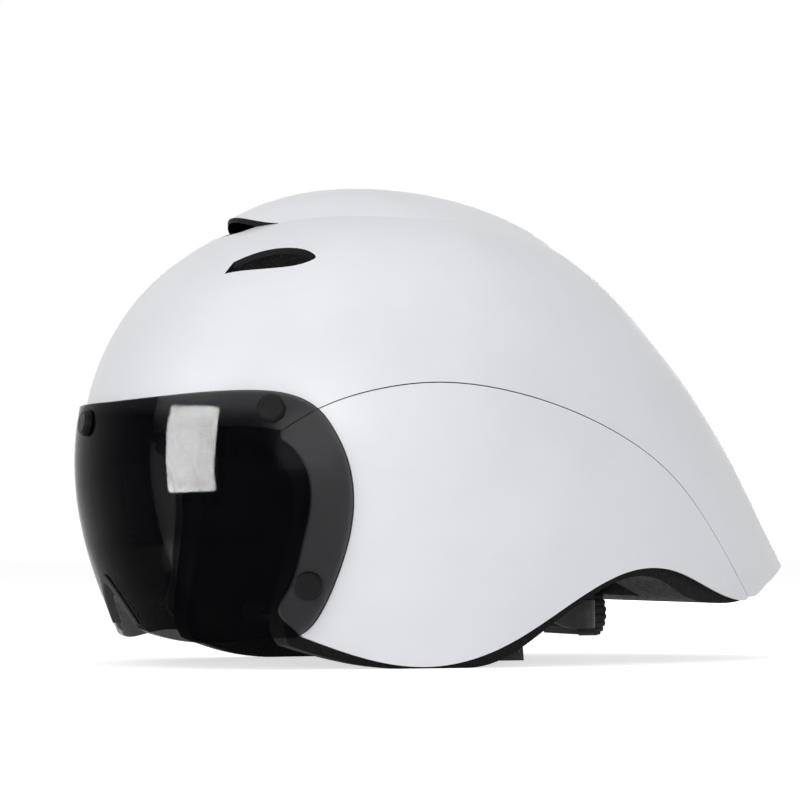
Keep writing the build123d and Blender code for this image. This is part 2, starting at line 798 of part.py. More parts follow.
# Sockets in the foam that the arms' pins turn and slide in
for name, side in (("left", 1), ("right", -1)):
    with BuildPart() as temple_anchor:
        with BuildSketch(side_plane(side, anchor_face_x)):
            Circle(anchor_flange_radius)
        extrude(amount=anchor_flange)
        with BuildSketch(side_plane(side, anchor_face_x)):
            Circle(anchor_body_radius)
        extrude(amount=anchor_depth)
        with BuildSketch(side_plane(side, anchor_face_x)):
            Circle(pin_radius + pin_play)
        extrude(amount=anchor_depth, mode=Mode.SUBTRACT)
    save(temple_anchor.part, f"temple_anchor_{name}")

# Cradle: tray of the dial housing with the nape wings and the blade of the height rail
channel_half = rack_height / 2 + rack_play
channel_front = rack_plane_y - layer_shift - rack_thick / 2 - rack_play
channel_rear = rack_plane_y + layer_shift + rack_thick / 2 + rack_play
tray_low = dial_z - channel_half - housing_wall
tray_high = dial_z + channel_half + housing_wall
with BuildPart() as cradle_wings:
    with BuildSketch():
        with BuildLine():
            ThreePointArc(wing_side, (0, wing_middle_y), (-wing_side[0], wing_side[1]))
        trace(line_width=wing_thick)
    extrude(amount=helmet_height)
    with BuildSketch(Plane.XZ):
        with BuildLine():
            wing_rise = wing_top_z - wing_low_z
            outline = [(wing_side[0] * x, wing_low_z + wing_rise * z) for x, z in wing_shares]
            mirrored = [(-x, z) for x, z in reversed(outline[:-1])]
            Spline(*outline, *mirrored)
            Line(mirrored[-1], outline[0])
        make_face()
    extrude(amount=reach, both=True, mode=Mode.INTERSECT)
screw_spots = [(x, z) for x in (-screw_x, screw_x)
               for z in (tray_low + housing_wall / 2, tray_high - housing_wall / 2)]
with BuildPart() as cradle_housing:
    add(block(-housing_half_width, housing_half_width, channel_front - housing_front, channel_rear,
              tray_low, tray_high))
    fillet(edges().filter_by(Axis.Y), housing_wall / 2)
    add(block(-reach, reach, channel_front, channel_rear, dial_z - channel_half, dial_z + channel_half),
        mode=Mode.SUBTRACT)
    add(cradle_wings.part)
    add(between_arcs(blade_inner, blade_outer, blade_low_angle, blade_high_angle, blade_half_width))
    with BuildSketch(Plane.XZ.offset(-channel_rear)):
        with Locations(*screw_spots):
            Circle(screw_radius + screw_play)
    extrude(amount=housing_wall, mode=Mode.SUBTRACT)
save(cradle_housing.part, "cradle_housing")

with BuildPart() as cradle_cover:
    with BuildSketch(Plane.XZ.offset(-channel_rear)):
        with Locations((0, dial_z)):
            RectangleRounded(2 * housing_half_width, tray_high - tray_low, housing_wall / 2)
            Circle(shaft_radius + shaft_play, mode=Mode.SUBTRACT)
        with Locations(*screw_spots):
            Circle(screw_radius + screw_play, mode=Mode.SUBTRACT)
    extrude(amount=-cover_thick)
save(cradle_cover.part, "cradle_cover")
cover_back = channel_rear + cover_thick

with BuildPart() as cradle_screws:
    with BuildSketch(Plane.XZ.offset(-cover_back)):
        with Locations(*screw_spots):
            Circle(screw_radius)
    extrude(amount=cover_thick + housing_wall - screw_play)
    with BuildSketch(Plane.XZ.offset(-cover_back)):
        with Locations(*screw_spots):
            Circle(screw_head_radius)
    extrude(amount=-screw_head)
save(cradle_screws.part, "cradle_screws")

with BuildPart() as cradle_pad:
    with BuildSketch(Plane.XZ.offset(-(channel_front - housing_front - pad_gap))):
        with Locations((0, dial_z)):
            RectangleRounded(cradle_pad_width, cradle_pad_height, cradle_pad_round)
    extrude(amount=cradle_pad_thick)
    fillet(edges().group_by(Axis.Y)[0], cradle_pad_thick / 3)
save(cradle_pad.part, "cradle_pad")

# Dial: ribbed knob, shaft and pinion in one piece
knob_front = cover_back + screw_head + knob_gap
tooth_flank = [(pinion_pitch_radius - tooth_dedendum, tooth_root_half), (pinion_pitch_radius, tooth_half),
               (pinion_pitch_radius + tooth_addendum, tooth_tip_half)]
tooth_outline = [(r, -half) for r, half in tooth_flank] + [(r, half) for r, half in reversed(tooth_flank)]
pinion_outline = []
for tooth in range(teeth):
    for radius, half in tooth_outline:
        angle = math.tau * (tooth / teeth + 1 / 4) + half / radius
        pinion_outline.append((radius * math.cos(angle), dial_z + radius * math.sin(angle)))
with BuildPart() as dial_knob:
    with BuildSketch(Plane.XZ.offset(-knob_front)):
        with Locations((0, dial_z)):
            Circle(knob_radius)
            with PolarLocations(knob_radius, knob_ribs):
                Circle(knob_rib_radius, mode=Mode.SUBTRACT)
    extrude(amount=-knob_depth)
    with BuildSketch(Plane.XZ.offset(-knob_front)):
        with Locations((0, dial_z)):
            Circle(shaft_radius)
    extrude(amount=knob_front - channel_front - rack_play)
    with BuildSketch(Plane.XZ.offset(-(channel_rear - rack_play))):
        with BuildLine():
            Polyline(*pinion_outline, close=True)
        make_face()
    extrude(amount=channel_rear - channel_front - 2 * rack_play)
save(dial_knob.part, "dial_knob")

# Rail in the foam that guides the cradle's blade as the cradle tilts about the temple pins
cut_angles = (2 * rail_low_angle, 2 * rail_high_angle)
with BuildPart() as height_rail:
    add(between_arcs(rail_inner, rail_outer, rail_low_angle, rail_high_angle, rail_half))
    add(between_arcs(blade_inner - rail_play, blade_outer + rail_play, *cut_angles,
                     blade_half_width + rail_play), mode=Mode.SUBTRACT)
    add(between_arcs(rail_inner - rail_wall, blade_radius, *cut_angles,
                     blade_half_width - rail_lip), mode=Mode.SUBTRACT)
save(height_rail.part, "height_rail")


def wall_plane(side, y, z):
    """Plane on the cavity's wall, facing the head, upright and level."""
    along = (y - cavity_y) / cavity_half_length
    x = side * cavity_half_width * math.sqrt(1 - along**2)
    facing = Vector(-x / cavity_half_width**2, -(y - cavity_y) / cavity_half_length**2, 0)
    return Plane(origin=(x, y, z), x_dir=Vector(0, 0, 1).cross(facing), z_dir=facing)


# Anchors of the webbing on the cavity's walls
anchor_spots = [(front_anchor_y, front_anchor_z, web_front_end_y),
                (rear_anchor_y, rear_anchor_z, web_rear_end_y)]
with BuildPart() as strap_anchors:
    for side in (1, -1):
        for y, z, end_y in anchor_spots:
            with BuildSketch(wall_plane(side, y, z).offset(anchor_wall_gap)):
                RectangleRounded(anchor_plate_width, anchor_plate_height, anchor_plate_thick / 2)
            extrude(amount=anchor_plate_thick)
save(strap_anchors.part, "strap_anchors")

# Webbing from the anchors to the dividers, the dividers and the chin straps
web_top = divider_z + divider_thick / 2 + web_seat + web_thick / 2
for name, side in (("left", 1), ("right", -1)):
    for place, (y, z, end_y) in zip(("front", "rear"), anchor_spots):
        wall = wall_plane(side, y, z)
        with BuildPart() as strap:
            add(webbing(tuple(wall.origin), (side * divider_x, end_y, web_top), web_sag))
            split(bisect_by=wall.offset(anchor_wall_gap + anchor_plate_thick + web_seat))
        save(strap.part, f"{place}_strap_{name}")
    with BuildPart() as divider:
        with BuildSketch(Plane.XY.offset(divider_z - divider_thick / 2)):
            with Locations((side * divider_x, divider_y)):
                RectangleRounded(divider_length, divider_width, 2 * divider_round)
        extrude(amount=divider_thick)
        chamfer(edges().group_by(Axis.Z)[-1], divider_round / 2)
    save(divider.part, f"strap_divider_{name}")

divider_inner = divider_x - divider_length / 2
strap_ends = {"left": (female_outer_x + web_seat, divider_inner - web_seat),
              "right": (male_outer_x - web_seat, -divider_inner + web_seat)}
for name, (first, last) in strap_ends.items():
    ends = ((first, divider_y, buckle_z), (last, divider_y, divider_z))
    save(webbing(*ends, web_sag / 2), f"chin_strap_{name}")

# Side-release buckle, closed
buckle_low = buckle_z - buckle_height / 2
buckle_high = buckle_z + buckle_height / 2
buckle_side = buckle_width / 2
room_side = buckle_side - buckle_wall
room_low, room_high = buckle_low + buckle_wall, buckle_high - buckle_wall
room_end = female_inner_x + prong_length + buckle_play
with BuildPart() as buckle_female:
    add(block(female_inner_x, female_outer_x, divider_y - buckle_side, divider_y + buckle_side,
              buckle_low, buckle_high))
    fillet(edges().filter_by(Axis.Z), 2 * buckle_round)
    add(block(0, room_end, divider_y - room_side, divider_y + room_side, room_low, room_high),
        mode=Mode.SUBTRACT)
    add(block(window_front_x, window_rear_x, divider_y - buckle_width, divider_y + buckle_width,
              room_low, room_high), mode=Mode.SUBTRACT)
save(buckle_female.part, "buckle_female")
with BuildPart() as buckle_male:
    add(block(male_outer_x, female_inner_x - buckle_play, divider_y - buckle_side, divider_y + buckle_side,
              buckle_low, buckle_high))
    fillet(edges().filter_by(Axis.Z), buckle_round)
    prong_y = room_side - buckle_play - prong_width / 2
    for shift, width in ((0, guide_width), (prong_y, prong_width), (-prong_y, prong_width)):
        middle_y = divider_y + shift
        add(block(0, room_end - buckle_play, middle_y - width / 2, middle_y + width / 2,
                  room_low + buckle_play, room_high - buckle_play))
save(buckle_male.part, "buckle_male")

# Rubber keeper that holds the strap's loose end
keeper_wide = web_width + 2 * keeper_play
keeper_high = web_thick + 2 * keeper_play_high
with BuildPart() as strap_keeper:
    with BuildSketch(Plane.YZ.offset(keeper_x)):
        with Locations((divider_y, keeper_z)):
            Rectangle(keeper_wide + 2 * keeper_wall, keeper_high + 2 * keeper_wall)
            Rectangle(keeper_wide, keeper_high, mode=Mode.SUBTRACT)
    extrude(amount=keeper_length / 2, both=True)
save(strap_keeper.part, "strap_keeper")
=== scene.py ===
import json
import logging
import math
from collections.abc import Mapping, Sequence
from dataclasses import dataclass
from enum import Enum, IntEnum
from typing import Any

import bmesh
import bpy
import numpy as np
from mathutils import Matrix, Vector


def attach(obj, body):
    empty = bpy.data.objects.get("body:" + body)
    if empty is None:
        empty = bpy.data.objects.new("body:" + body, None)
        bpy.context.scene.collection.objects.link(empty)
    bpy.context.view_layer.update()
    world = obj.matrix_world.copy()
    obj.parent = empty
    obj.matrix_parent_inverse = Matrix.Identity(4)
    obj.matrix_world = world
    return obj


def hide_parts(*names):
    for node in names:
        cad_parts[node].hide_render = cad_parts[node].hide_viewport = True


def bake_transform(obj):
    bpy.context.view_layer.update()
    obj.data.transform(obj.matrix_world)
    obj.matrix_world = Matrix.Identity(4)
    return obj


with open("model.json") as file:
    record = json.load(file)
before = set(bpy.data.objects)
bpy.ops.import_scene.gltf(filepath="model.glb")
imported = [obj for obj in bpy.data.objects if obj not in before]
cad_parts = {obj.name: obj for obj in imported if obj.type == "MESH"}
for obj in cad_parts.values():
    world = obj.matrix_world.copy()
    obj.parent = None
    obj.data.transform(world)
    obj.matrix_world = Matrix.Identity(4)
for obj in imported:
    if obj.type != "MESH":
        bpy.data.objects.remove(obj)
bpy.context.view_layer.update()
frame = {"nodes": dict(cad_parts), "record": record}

# A short-tailed time trial helmet with a smoked visor, its fit system, pads and webbing.
# Lengths are metres: x to the wearer's left, -y ahead, z up from the surface it stands on.

log = logging.getLogger("helmet")
mm = 0.001

# Sizes that several pieces share
cavity_centre = np.array([0.0, -34.0, 85.0]) * mm
cavity_half = np.array([80.0, 105.0, 95.0]) * mm
web_width = 15 * mm
web_thick = 1.2 * mm

weld = mm / 1000  # corners of a mesh nearer to each other than this are one
tiny = 1e-12  # least length to divide by
white = (1.0, 1.0, 1.0, 1.0)
strap_map = "strap"  # name of the straps' own map

# Numbers of the Mix node's colour sockets, whose names it gives to other sockets too
mix_first, mix_second, mix_result = 6, 7, 2


class Axis(IntEnum):
    """The axes, by the column that holds them."""

    X = 0
    Y = 1
    Z = 2


class Body(Enum):
    """The bodies that whole pieces ride on."""

    HELMET = "helmet"
    CRADLE = "cradle"


class Slot(Enum):
    """The record's material slots."""

    SHELL = "shell_white"
    FOAM = "foam"
    LENS = "lens_smoke"
    CAP = "cap_black"
    MAGNET = "magnet"
    SEAL = "seal_rubber"
    PAD = "pad_fabric"
    FIT = "fit_plastic"
    DIAL = "dial_rubber"
    SCREW = "screw_steel"
    WEB = "webbing"
    BUCKLE = "buckle_plastic"
    KEEPER = "keeper_rubber"


class Signal:
    """One value in a node tree, on which arithmetic adds Math nodes."""

    def __init__(self, graph: "Graph", socket: Any) -> None:
        """Hold an output socket.

        Args:
            graph: The tree that the socket belongs to.
            socket: The output socket, or None for a node without one.
        """
        self.graph = graph
        self.socket = socket

    def maths(self, operation: str, *others: "Signal | float") -> "Signal":
        """Apply a Math node to this value.

        Args:
            operation: The Math node's operation.
            others: The operation's second and third values.

        Returns:
            The result.
        """
        values = dict(enumerate((self, *others)))
        return self.graph.add("ShaderNodeMath", {"operation": operation}, values)

    def __add__(self, other: "Signal | float") -> "Signal":
        """Sum of two values."""
        return self.maths("ADD", other)

    def __sub__(self, other: "Signal | float") -> "Signal":
        """This value less another."""
        return self.maths("SUBTRACT", other)

    def __mul__(self, other: "Signal | float") -> "Signal":
        """Product of two values."""
        return self.maths("MULTIPLY", other)

    def __rsub__(self, other: float) -> "Signal":
        """A number less this value."""
        return (self * -1.0) + other

    __radd__ = __add__
    __rmul__ = __mul__

    def wave(self, pitch: float) -> "Signal":
        """Sine of this length, with one period per pitch."""
        return (self * (math.tau / pitch)).maths("SINE")

    def rising(self, low: float, high: float) -> "Signal":
        """Smooth step from 0 at low to 1 at high.

        Args:
            low: Value at which the step starts.
            high: Value at which it ends.

        Returns:
            The step, from 0 to 1.
        """
        values = {"Value": self, "From Min": low, "From Max": high}
        return self.graph.add("ShaderNodeMapRange", {"interpolation_type": "SMOOTHSTEP"}, values)

    def falling(self, low: float, high: float) -> "Signal":
        """Smooth step from 1 at low to 0 at high."""
        return 1.0 - self.rising(low, high)

    def inside(self, low: float, high: float, soft: float = 0.2 * mm) -> "Signal":
        """1 where this value lies between two limits, and 0 outside, with soft edges."""
        return self.rising(low - soft, low) * self.falling(high, high + soft)


class Graph:
    """A node tree that is filled one node at a time."""

    def __init__(self, tree: bpy.types.NodeTree) -> None:
        """Start from an empty tree.

        Args:
            tree: The material's or the world's tree.
        """
        self.tree = tree
        self.tree.nodes.clear()

    def add(self, kind: str, settings: Mapping[str, Any] | None = None,
            sockets: Mapping[Any, Any] | None = None, output: Any = 0) -> Signal:
        """Make a node.

        Args:
            kind: The node's type.
            settings: Properties of the node, which are set first.
            sockets: Values or signals for its inputs, by name or number.
            output: Name or number of the output to return.

        Returns:
            The chosen output, which holds no socket on a node that has none.
        """
        node = self.tree.nodes.new(kind)
        for name, value in (settings or {}).items():
            setattr(node, name, value)
        for name, value in (sockets or {}).items():
            if isinstance(value, Signal):
                self.tree.links.new(value.socket, node.inputs[name])
            else:
                node.inputs[name].default_value = value
        return Signal(self, node.outputs[output] if len(node.outputs) else None)

    def place(self, kind: str = "Object") -> Signal:
        """Coordinates of the point that is shaded."""
        return self.add("ShaderNodeTexCoord", output=kind)

    def axis(self, vector: Signal, axis: Axis) -> Signal:
        """One part of a vector."""
        return self.add("ShaderNodeSeparateXYZ", {}, {"Vector": vector}, axis.name)

    def stretched(self, place: Signal, scales: Sequence[float]) -> Signal:
        """Coordinates stretched along each axis."""
        return self.add("ShaderNodeMapping", {}, {"Vector": place, "Scale": tuple(scales)})

    def noise(self, place: Signal, size: float, detail: float = 2.0) -> Signal:
        """Soft random pattern.

        Args:
            place: Coordinates, in metres.
            size: Size of its largest features, in metres.
            detail: How many finer layers it has.

        Returns:
            A value about one half.
        """
        values = {"Vector": place, "Scale": 1 / size, "Detail": detail}
        return self.add("ShaderNodeTexNoise", {}, values)

    def cells(self, place: Signal, size: float, feature: str = "F1", output: str = "Distance") -> Signal:
        """Pattern of irregular cells.

        Args:
            place: Coordinates, in metres.
            size: Size of a cell, in metres.
            feature: What is measured in the cell.
            output: The texture's output.

        Returns:
            The measure, in cell sizes, or the cell's colour.
        """
        values = {"Vector": place, "Scale": 1 / size}
        return self.add("ShaderNodeTexVoronoi", {"feature": feature}, values, output)

    def tint(self, share: Signal, first: "Signal | Sequence[float]", second: Sequence[float]) -> Signal:
        """Colour between two colours.

        Args:
            share: 0 for the first colour, 1 for the second.
            first: Red, green and blue, or a signal that holds a colour.
            second: Red, green and blue.

        Returns:
            The colour.
        """
        start = first if isinstance(first, Signal) else (*first, 1.0)
        values = {"Factor": share, mix_first: start, mix_second: (*second, 1.0)}
        return self.add("ShaderNodeMix", {"data_type": "RGBA"}, values, mix_result)

    def relief(self, height: Signal, depth: float) -> Signal:
        """Normal of a surface with a height pattern.

        Args:
            height: The pattern, from 0 to 1.
            depth: Height in metres at 1.

        Returns:
            The normal.
        """
        values = {"Strength": 1.0, "Distance": depth, "Height": height}
        return self.add("ShaderNodeBump", {}, values, "Normal")


@dataclass(frozen=True)
class Finish:
    """A surface finish, from which each piece gets its material."""

    name: str
    colour: tuple[float, float, float]
    roughness: float

    def shade(self, factor: float, lift: float = 0.0) -> tuple[float, ...]:
        """The finish's colour times a factor, plus a lift, at most 1."""
        return tuple(min(part * factor + lift, 1.0) for part in self.colour)

    def sockets(self, graph: Graph) -> dict[str, Any]:
        """Values and signals of the surface shader's inputs.

        Args:
            graph: The material's tree.

        Returns:
            Inputs by name.
        """
        return {"Base Color": (*self.colour, 1.0), "Roughness": self.roughness}

    def material(self) -> bpy.types.Material:
        """Make the material, or find it if it was made before.

        Returns:
            The material.
        """
        found = bpy.data.materials.get(self.name)
        if found:
            return found
        made = bpy.data.materials.new(self.name)
        made.use_nodes = True
        graph = Graph(made.node_tree)
        surface = graph.add("ShaderNodeBsdfPrincipled", {}, self.sockets(graph))
        graph.add("ShaderNodeOutputMaterial", {}, {"Surface": surface})
        return made


@dataclass(frozen=True)
class Mouth:
    """An opening whose walls stay unpainted, dark partly as bare foam and partly as painted shade.

    They lie in a box on both sides of the middle, over a sill, and face the sky less than the paint
    round them does.
    """

    sideways: tuple[float, float]
    along: tuple[float, float]
    sill: tuple[float, float]
    skyward: tuple[float, float]

    def mask(self, graph: Graph, place: Signal) -> Signal:
        """1 on the opening's walls, which get a dark bare tone and painted shade, and 0 elsewhere.

        It is the box, times a step upwards over the sill, times a step that falls where the surface
        turns to the sky.

        Args:
            graph: The material's tree.
            place: Coordinates of the point.

        Returns:
            The mask.
        """
        from_middle = graph.axis(place, Axis.X).maths("ABSOLUTE")
        box = from_middle.inside(*self.sideways) * graph.axis(place, Axis.Y).inside(*self.along)
        steep = graph.axis(graph.place("Normal"), Axis.Z).falling(*self.skyward)
        return box * graph.axis(place, Axis.Z).rising(*self.sill) * steep


# Openings whose walls are painted dark: partly bare foam, partly painted shade where they face away from the
# sky.
side_vents = Mouth((44 * mm, 68 * mm), (-128 * mm, -86 * mm), (160 * mm, 161 * mm), (0.28, 0.34))
crown_scoop = Mouth((0.0, 30 * mm), (-116 * mm, -60 * mm), (185 * mm, 186 * mm), (0.18, 0.26))


@dataclass(frozen=True)
class SatinPaint(Finish):
    """Sprayed satin paint: faint clouds, orange peel and hairline scuffs, with bare tone and painted shade
    inside the openings.
    """

    cloud_size: float = 45 * mm
    cloud_band: tuple[float, float] = (0.35, 0.65)
    cloud_share: float = 0.7
    cloud_rough: float = 0.10
    peel_size: float = 1.6 * mm
    peel_depth: float = 0.012 * mm
    scuff_size: float = 5 * mm
    scuff_drawn: tuple[float, float, float] = (1.0, 0.06, 0.5)
    scuff_band: tuple[float, float] = (0.60, 0.74)
    scuff_share: float = 0.3
    scuff_rough: float = 0.07
    dull_shade: float = 0.955
    coat: float = 0.18
    coat_roughness: float = 0.22
    # Dark colour of the openings' walls: bare foam tone and painted shade.
    bare_and_shade: tuple[float, float, float] = (0.012, 0.012, 0.013)
    bare_and_shade_rough: float = 0.3
    bare_and_shade_metal: float = 0.9

    def sockets(self, graph: Graph) -> dict[str, Any]:
        """Inputs of the paint's shader.

        Args:
            graph: The material's tree.

        Returns:
            Inputs by name.
        """
        place = graph.place()
        # Mask of the openings' walls that face away from the sky: painted shade there, on top of a bare
        # tone.
        bare_and_shade = side_vents.mask(graph, place).maths("MAXIMUM", crown_scoop.mask(graph, place))
        cloud = graph.noise(place, self.cloud_size, detail=3)
        peel = graph.noise(place, self.peel_size)
        drawn = graph.stretched(place, self.scuff_drawn)
        scuff = graph.noise(drawn, self.scuff_size, detail=6).rising(*self.scuff_band)
        dull = cloud.rising(*self.cloud_band) * self.cloud_share + scuff * self.scuff_share
        paint = graph.tint(dull, self.colour, self.shade(self.dull_shade))
        rough = cloud * self.cloud_rough + scuff * self.scuff_rough
        return {
            "Base Color": graph.tint(bare_and_shade, paint, self.bare_and_shade),
            "Roughness": rough + (self.roughness - self.cloud_rough / 2) + bare_and_shade * self.bare_and_shade_rough,
            "Normal": graph.relief(peel, self.peel_depth),
            "Metallic": bare_and_shade * self.bare_and_shade_metal,
            "Coat Weight": self.coat - bare_and_shade * self.coat,
            "Coat Roughness": self.coat_roughness,
        }


@dataclass(frozen=True)
class BeadFoam(Finish):
    """Moulded bead foam: swollen beads of random tone, with painted shade in the creases between them."""

    bead_size: float = 1.7 * mm
    bead_depth: float = 0.35 * mm
    crease_width: float = 0.13
    # Share of the colour left in the creases between beads: painted shade.
    crease_shade: float = 0.25
    crease_height: float = 0.6
    dome_height: float = 0.4
    tone_spread: float = 0.6
    tone_rough: float = 0.16
    skin_finer: float = 6.0
    skin_height: float = 0.05
    skin_rough: float = 0.12
    shine: float = 0.12

    def sockets(self, graph: Graph) -> dict[str, Any]:
        """Inputs of the foam's shader.

        Args:
            graph: The material's tree.

        Returns:
            Inputs by name.
        """
        place = graph.place()
        crease = graph.cells(place, self.bead_size, "DISTANCE_TO_EDGE").rising(0.0, self.crease_width)
        dome = 1.0 - graph.cells(place, self.bead_size)
        tone = graph.cells(place, self.bead_size, output="Color")
        tone = graph.add("ShaderNodeSeparateColor", {}, {"Color": tone})
        skin = graph.noise(place, self.bead_size / self.skin_finer)
        # Darker towards each bead's edge as painted shade in the creases, with random tone per bead.
        lit = crease * (tone * self.tone_spread + (1.0 - self.tone_spread))
        height = crease * self.crease_height + dome * self.dome_height + skin * self.skin_height
        rough = tone * self.tone_rough + skin * self.skin_rough
        return {
            "Base Color": graph.tint(lit, self.shade(self.crease_shade), self.colour),
            "Roughness": rough + (self.roughness - (self.tone_rough + self.skin_rough) / 2),
            "Normal": graph.relief(height, self.bead_depth),
            "Specular IOR Level": self.shine,
        }


@dataclass(frozen=True)
class SmokedLens(Finish):
    """Smoke-tinted glossy lens that shows what lies behind it darkly, and is made more opaque across its
    middle as painted shade.
    """

    cover: float = 0.50
    grazing_cover: float = 0.4
    glass_index: float = 1.45
    deepest_painted_shade: float = 0.22
    # Band of the lens made more opaque: painted shade over the dark inside behind it.
    shade_bottom: tuple[float, float] = (50 * mm, 60 * mm)
    shade_top: tuple[float, float] = (104 * mm, 116 * mm)
    shade_rear: tuple[float, float] = (-128 * mm, -112 * mm)
    smear_size: float = 30 * mm
    smear_drawn: tuple[float, float, float] = (1.0, 1.0, 0.4)
    smear_band: tuple[float, float] = (0.45, 0.7)
    smear_rough: float = 0.03
    shine: float = 0.022

    def sockets(self, graph: Graph) -> dict[str, Any]:
        """Inputs of the lens's shader.

        Args:
            graph: The material's tree.

        Returns:
            Inputs by name.
        """
        place = graph.place()
        drawn = graph.stretched(place, self.smear_drawn)
        smear = graph.noise(drawn, self.smear_size, detail=4).rising(*self.smear_band)
        grazing = graph.add("ShaderNodeFresnel", {}, {"IOR": self.glass_index})
        along, height = graph.axis(place, Axis.Y), graph.axis(place, Axis.Z)
        # More opaque over the middle of the lens: painted shade of the dark inside.
        painted_shade = height.rising(*self.shade_bottom) * height.falling(*self.shade_top)
        painted_shade = painted_shade * along.falling(*self.shade_rear)
        return {
            "Base Color": (*self.colour, 1.0),
            "Roughness": smear * self.smear_rough + self.roughness,
            "Alpha": grazing * self.grazing_cover + painted_shade * self.deepest_painted_shade + self.cover,
            "Specular IOR Level": self.shine,
        }


@dataclass(frozen=True)
class GrainedPlastic(Finish):
    """Moulded plastic or rubber with a fine eroded grain and handling marks."""

    grain_size: float = 0.55 * mm
    grain_depth: float = 0.03 * mm
    gloss: float = 0.3
    grain_share: float = 0.2
    grain_rough: float = 0.10
    grain_height: float = 0.7
    grit_finer: float = 2.0
    grit_height: float = 0.3
    mark_size: float = 9 * mm
    mark_band: tuple[float, float] = (0.5, 0.75)
    mark_share: float = 0.5
    mark_polish: float = 0.12
    worn_shade: float = 1.55
    worn_lift: float = 0.004

    def sockets(self, graph: Graph) -> dict[str, Any]:
        """Inputs of the plastic's shader.

        Args:
            graph: The material's tree.

        Returns:
            Inputs by name.
        """
        place = graph.place()
        grain = graph.cells(place, self.grain_size)
        grit = graph.noise(place, self.grain_size / self.grit_finer)
        mark = graph.noise(place, self.mark_size, detail=5).rising(*self.mark_band)
        worn = mark * self.mark_share + grain * self.grain_share
        return {
            "Base Color": graph.tint(worn, self.colour, self.shade(self.worn_shade, self.worn_lift)),
            "Roughness": grain * self.grain_rough - mark * self.mark_polish + self.roughness,
            "Normal": graph.relief(grain * self.grain_height + grit * self.grit_height, self.grain_depth),
            "Specular IOR Level": self.gloss,
        }


@dataclass(frozen=True)
class PlatedMetal(Finish):
    """Plated metal with fine rubbed lines."""

    line_size: float = 0.9 * mm
    line_depth: float = 0.006 * mm
    line_drawn: tuple[float, float, float] = (1.0, 0.08, 1.0)
    line_rough: float = 0.25
    line_polish: float = 0.1
    dull_coarser: float = 4.0
    dull_band: tuple[float, float] = (0.4, 0.7)
    dull_shade: float = 0.7

    def sockets(self, graph: Graph) -> dict[str, Any]:
        """Inputs of the metal's shader.

        Args:
            graph: The material's tree.

        Returns:
            Inputs by name.
        """
        place = graph.place()
        lines = graph.noise(graph.stretched(place, self.line_drawn), self.line_size, detail=4)
        dull = graph.noise(place, self.dull_coarser * self.line_size, detail=3).rising(*self.dull_band)
        return {
            "Base Color": graph.tint(dull, self.colour, self.shade(self.dull_shade)),
            "Roughness": lines * self.line_rough + (self.roughness - self.line_polish),
            "Metallic": 1.0,
            "Normal": graph.relief(lines, self.line_depth),
        }


@dataclass(frozen=True)
class BrushedKnit(Finish):
    """Brushed knit cover of the pads: tiny loops under a soft nap."""

    loop_size: float = 0.95 * mm
    loop_depth: float = 0.22 * mm
    loop_height: float = 0.7
    nap_coarser: float = 3.5
    nap_band: tuple[float, float] = (0.3, 0.75)
    nap_share: float = 0.6
    nap_rough: float = 0.1
    fuzz_finer: float = 3.0
    fuzz_share: float = 0.4
    fuzz_height: float = 0.3
    pale_shade: float = 1.9
    pale_lift: float = 0.01
    sheen: float = 0.35
    sheen_roughness: float = 0.5

    def sockets(self, graph: Graph) -> dict[str, Any]:
        """Inputs of the knit's shader.

        Args:
            graph: The material's tree.

        Returns:
            Inputs by name.
        """
        place = graph.place()
        loops = graph.cells(place, self.loop_size)
        nap = graph.noise(place, self.loop_size * self.nap_coarser, detail=4)
        fuzz = graph.noise(place, self.loop_size / self.fuzz_finer)
        pale = nap.rising(*self.nap_band) * self.nap_share + fuzz * self.fuzz_share
        height = (1.0 - loops) * self.loop_height + fuzz * self.fuzz_height
        return {
            "Base Color": graph.tint(pale, self.colour, self.shade(self.pale_shade, self.pale_lift)),
            "Roughness": nap * self.nap_rough + self.roughness,
            "Normal": graph.relief(height, self.loop_depth),
            "Sheen Weight": self.sheen,
            "Sheen Roughness": self.sheen_roughness,
        }


@dataclass(frozen=True)
class WovenWeb(Finish):
    """Woven webbing: a twill of ribs that follows the strap's own map, with painted shade in the weave's
    grooves.
    """

    rib_pitch: float = 1.25 * mm
    rib_lean: float = 0.9
    rib_height: float = 0.5
    yarn_pitch: float = 1.05 * mm
    yarn_height: float = 0.3
    weave_depth: float = 0.16 * mm
    weave_swing: float = 0.6
    weave_middle: float = 0.5
    # Paler on the weave's crests and darker in its grooves: painted shade.
    weave_shade_band: tuple[float, float] = (0.2, 1.0)
    weave_shade_share: float = 0.7
    fibre_finer: float = 4.0
    fibre_share: float = 0.3
    fibre_height: float = 0.15
    fibre_rough: float = 0.12
    pale_shade: float = 2.4
    pale_lift: float = 0.006
    sheen: float = 0.2
    sheen_roughness: float = 0.4

    def sockets(self, graph: Graph) -> dict[str, Any]:
        """Inputs of the webbing's shader.

        The weave is a sine across the strap for the yarns plus a leaning sine for the ribs.

        Args:
            graph: The material's tree.

        Returns:
            Inputs by name.
        """
        mapped = graph.add("ShaderNodeUVMap", {"uv_map": strap_map})
        along, across = graph.axis(mapped, Axis.X), graph.axis(mapped, Axis.Y)
        yarn = across.wave(self.yarn_pitch)
        rib = (across * self.rib_lean + along).wave(self.rib_pitch)
        weave = (yarn * self.yarn_height + rib * self.rib_height) * self.weave_swing + self.weave_middle
        fibre = graph.noise(graph.place(), self.yarn_pitch / self.fibre_finer)
        # Colour follows the weave's height as painted shade, plus random fibre tone.
        pale = weave.rising(*self.weave_shade_band) * self.weave_shade_share + fibre * self.fibre_share
        return {
            "Base Color": graph.tint(pale, self.colour, self.shade(self.pale_shade, self.pale_lift)),
            "Roughness": fibre * self.fibre_rough + self.roughness,
            "Normal": graph.relief(weave + fibre * self.fibre_height, self.weave_depth),
            "Sheen Weight": self.sheen,
            "Sheen Roughness": self.sheen_roughness,
        }


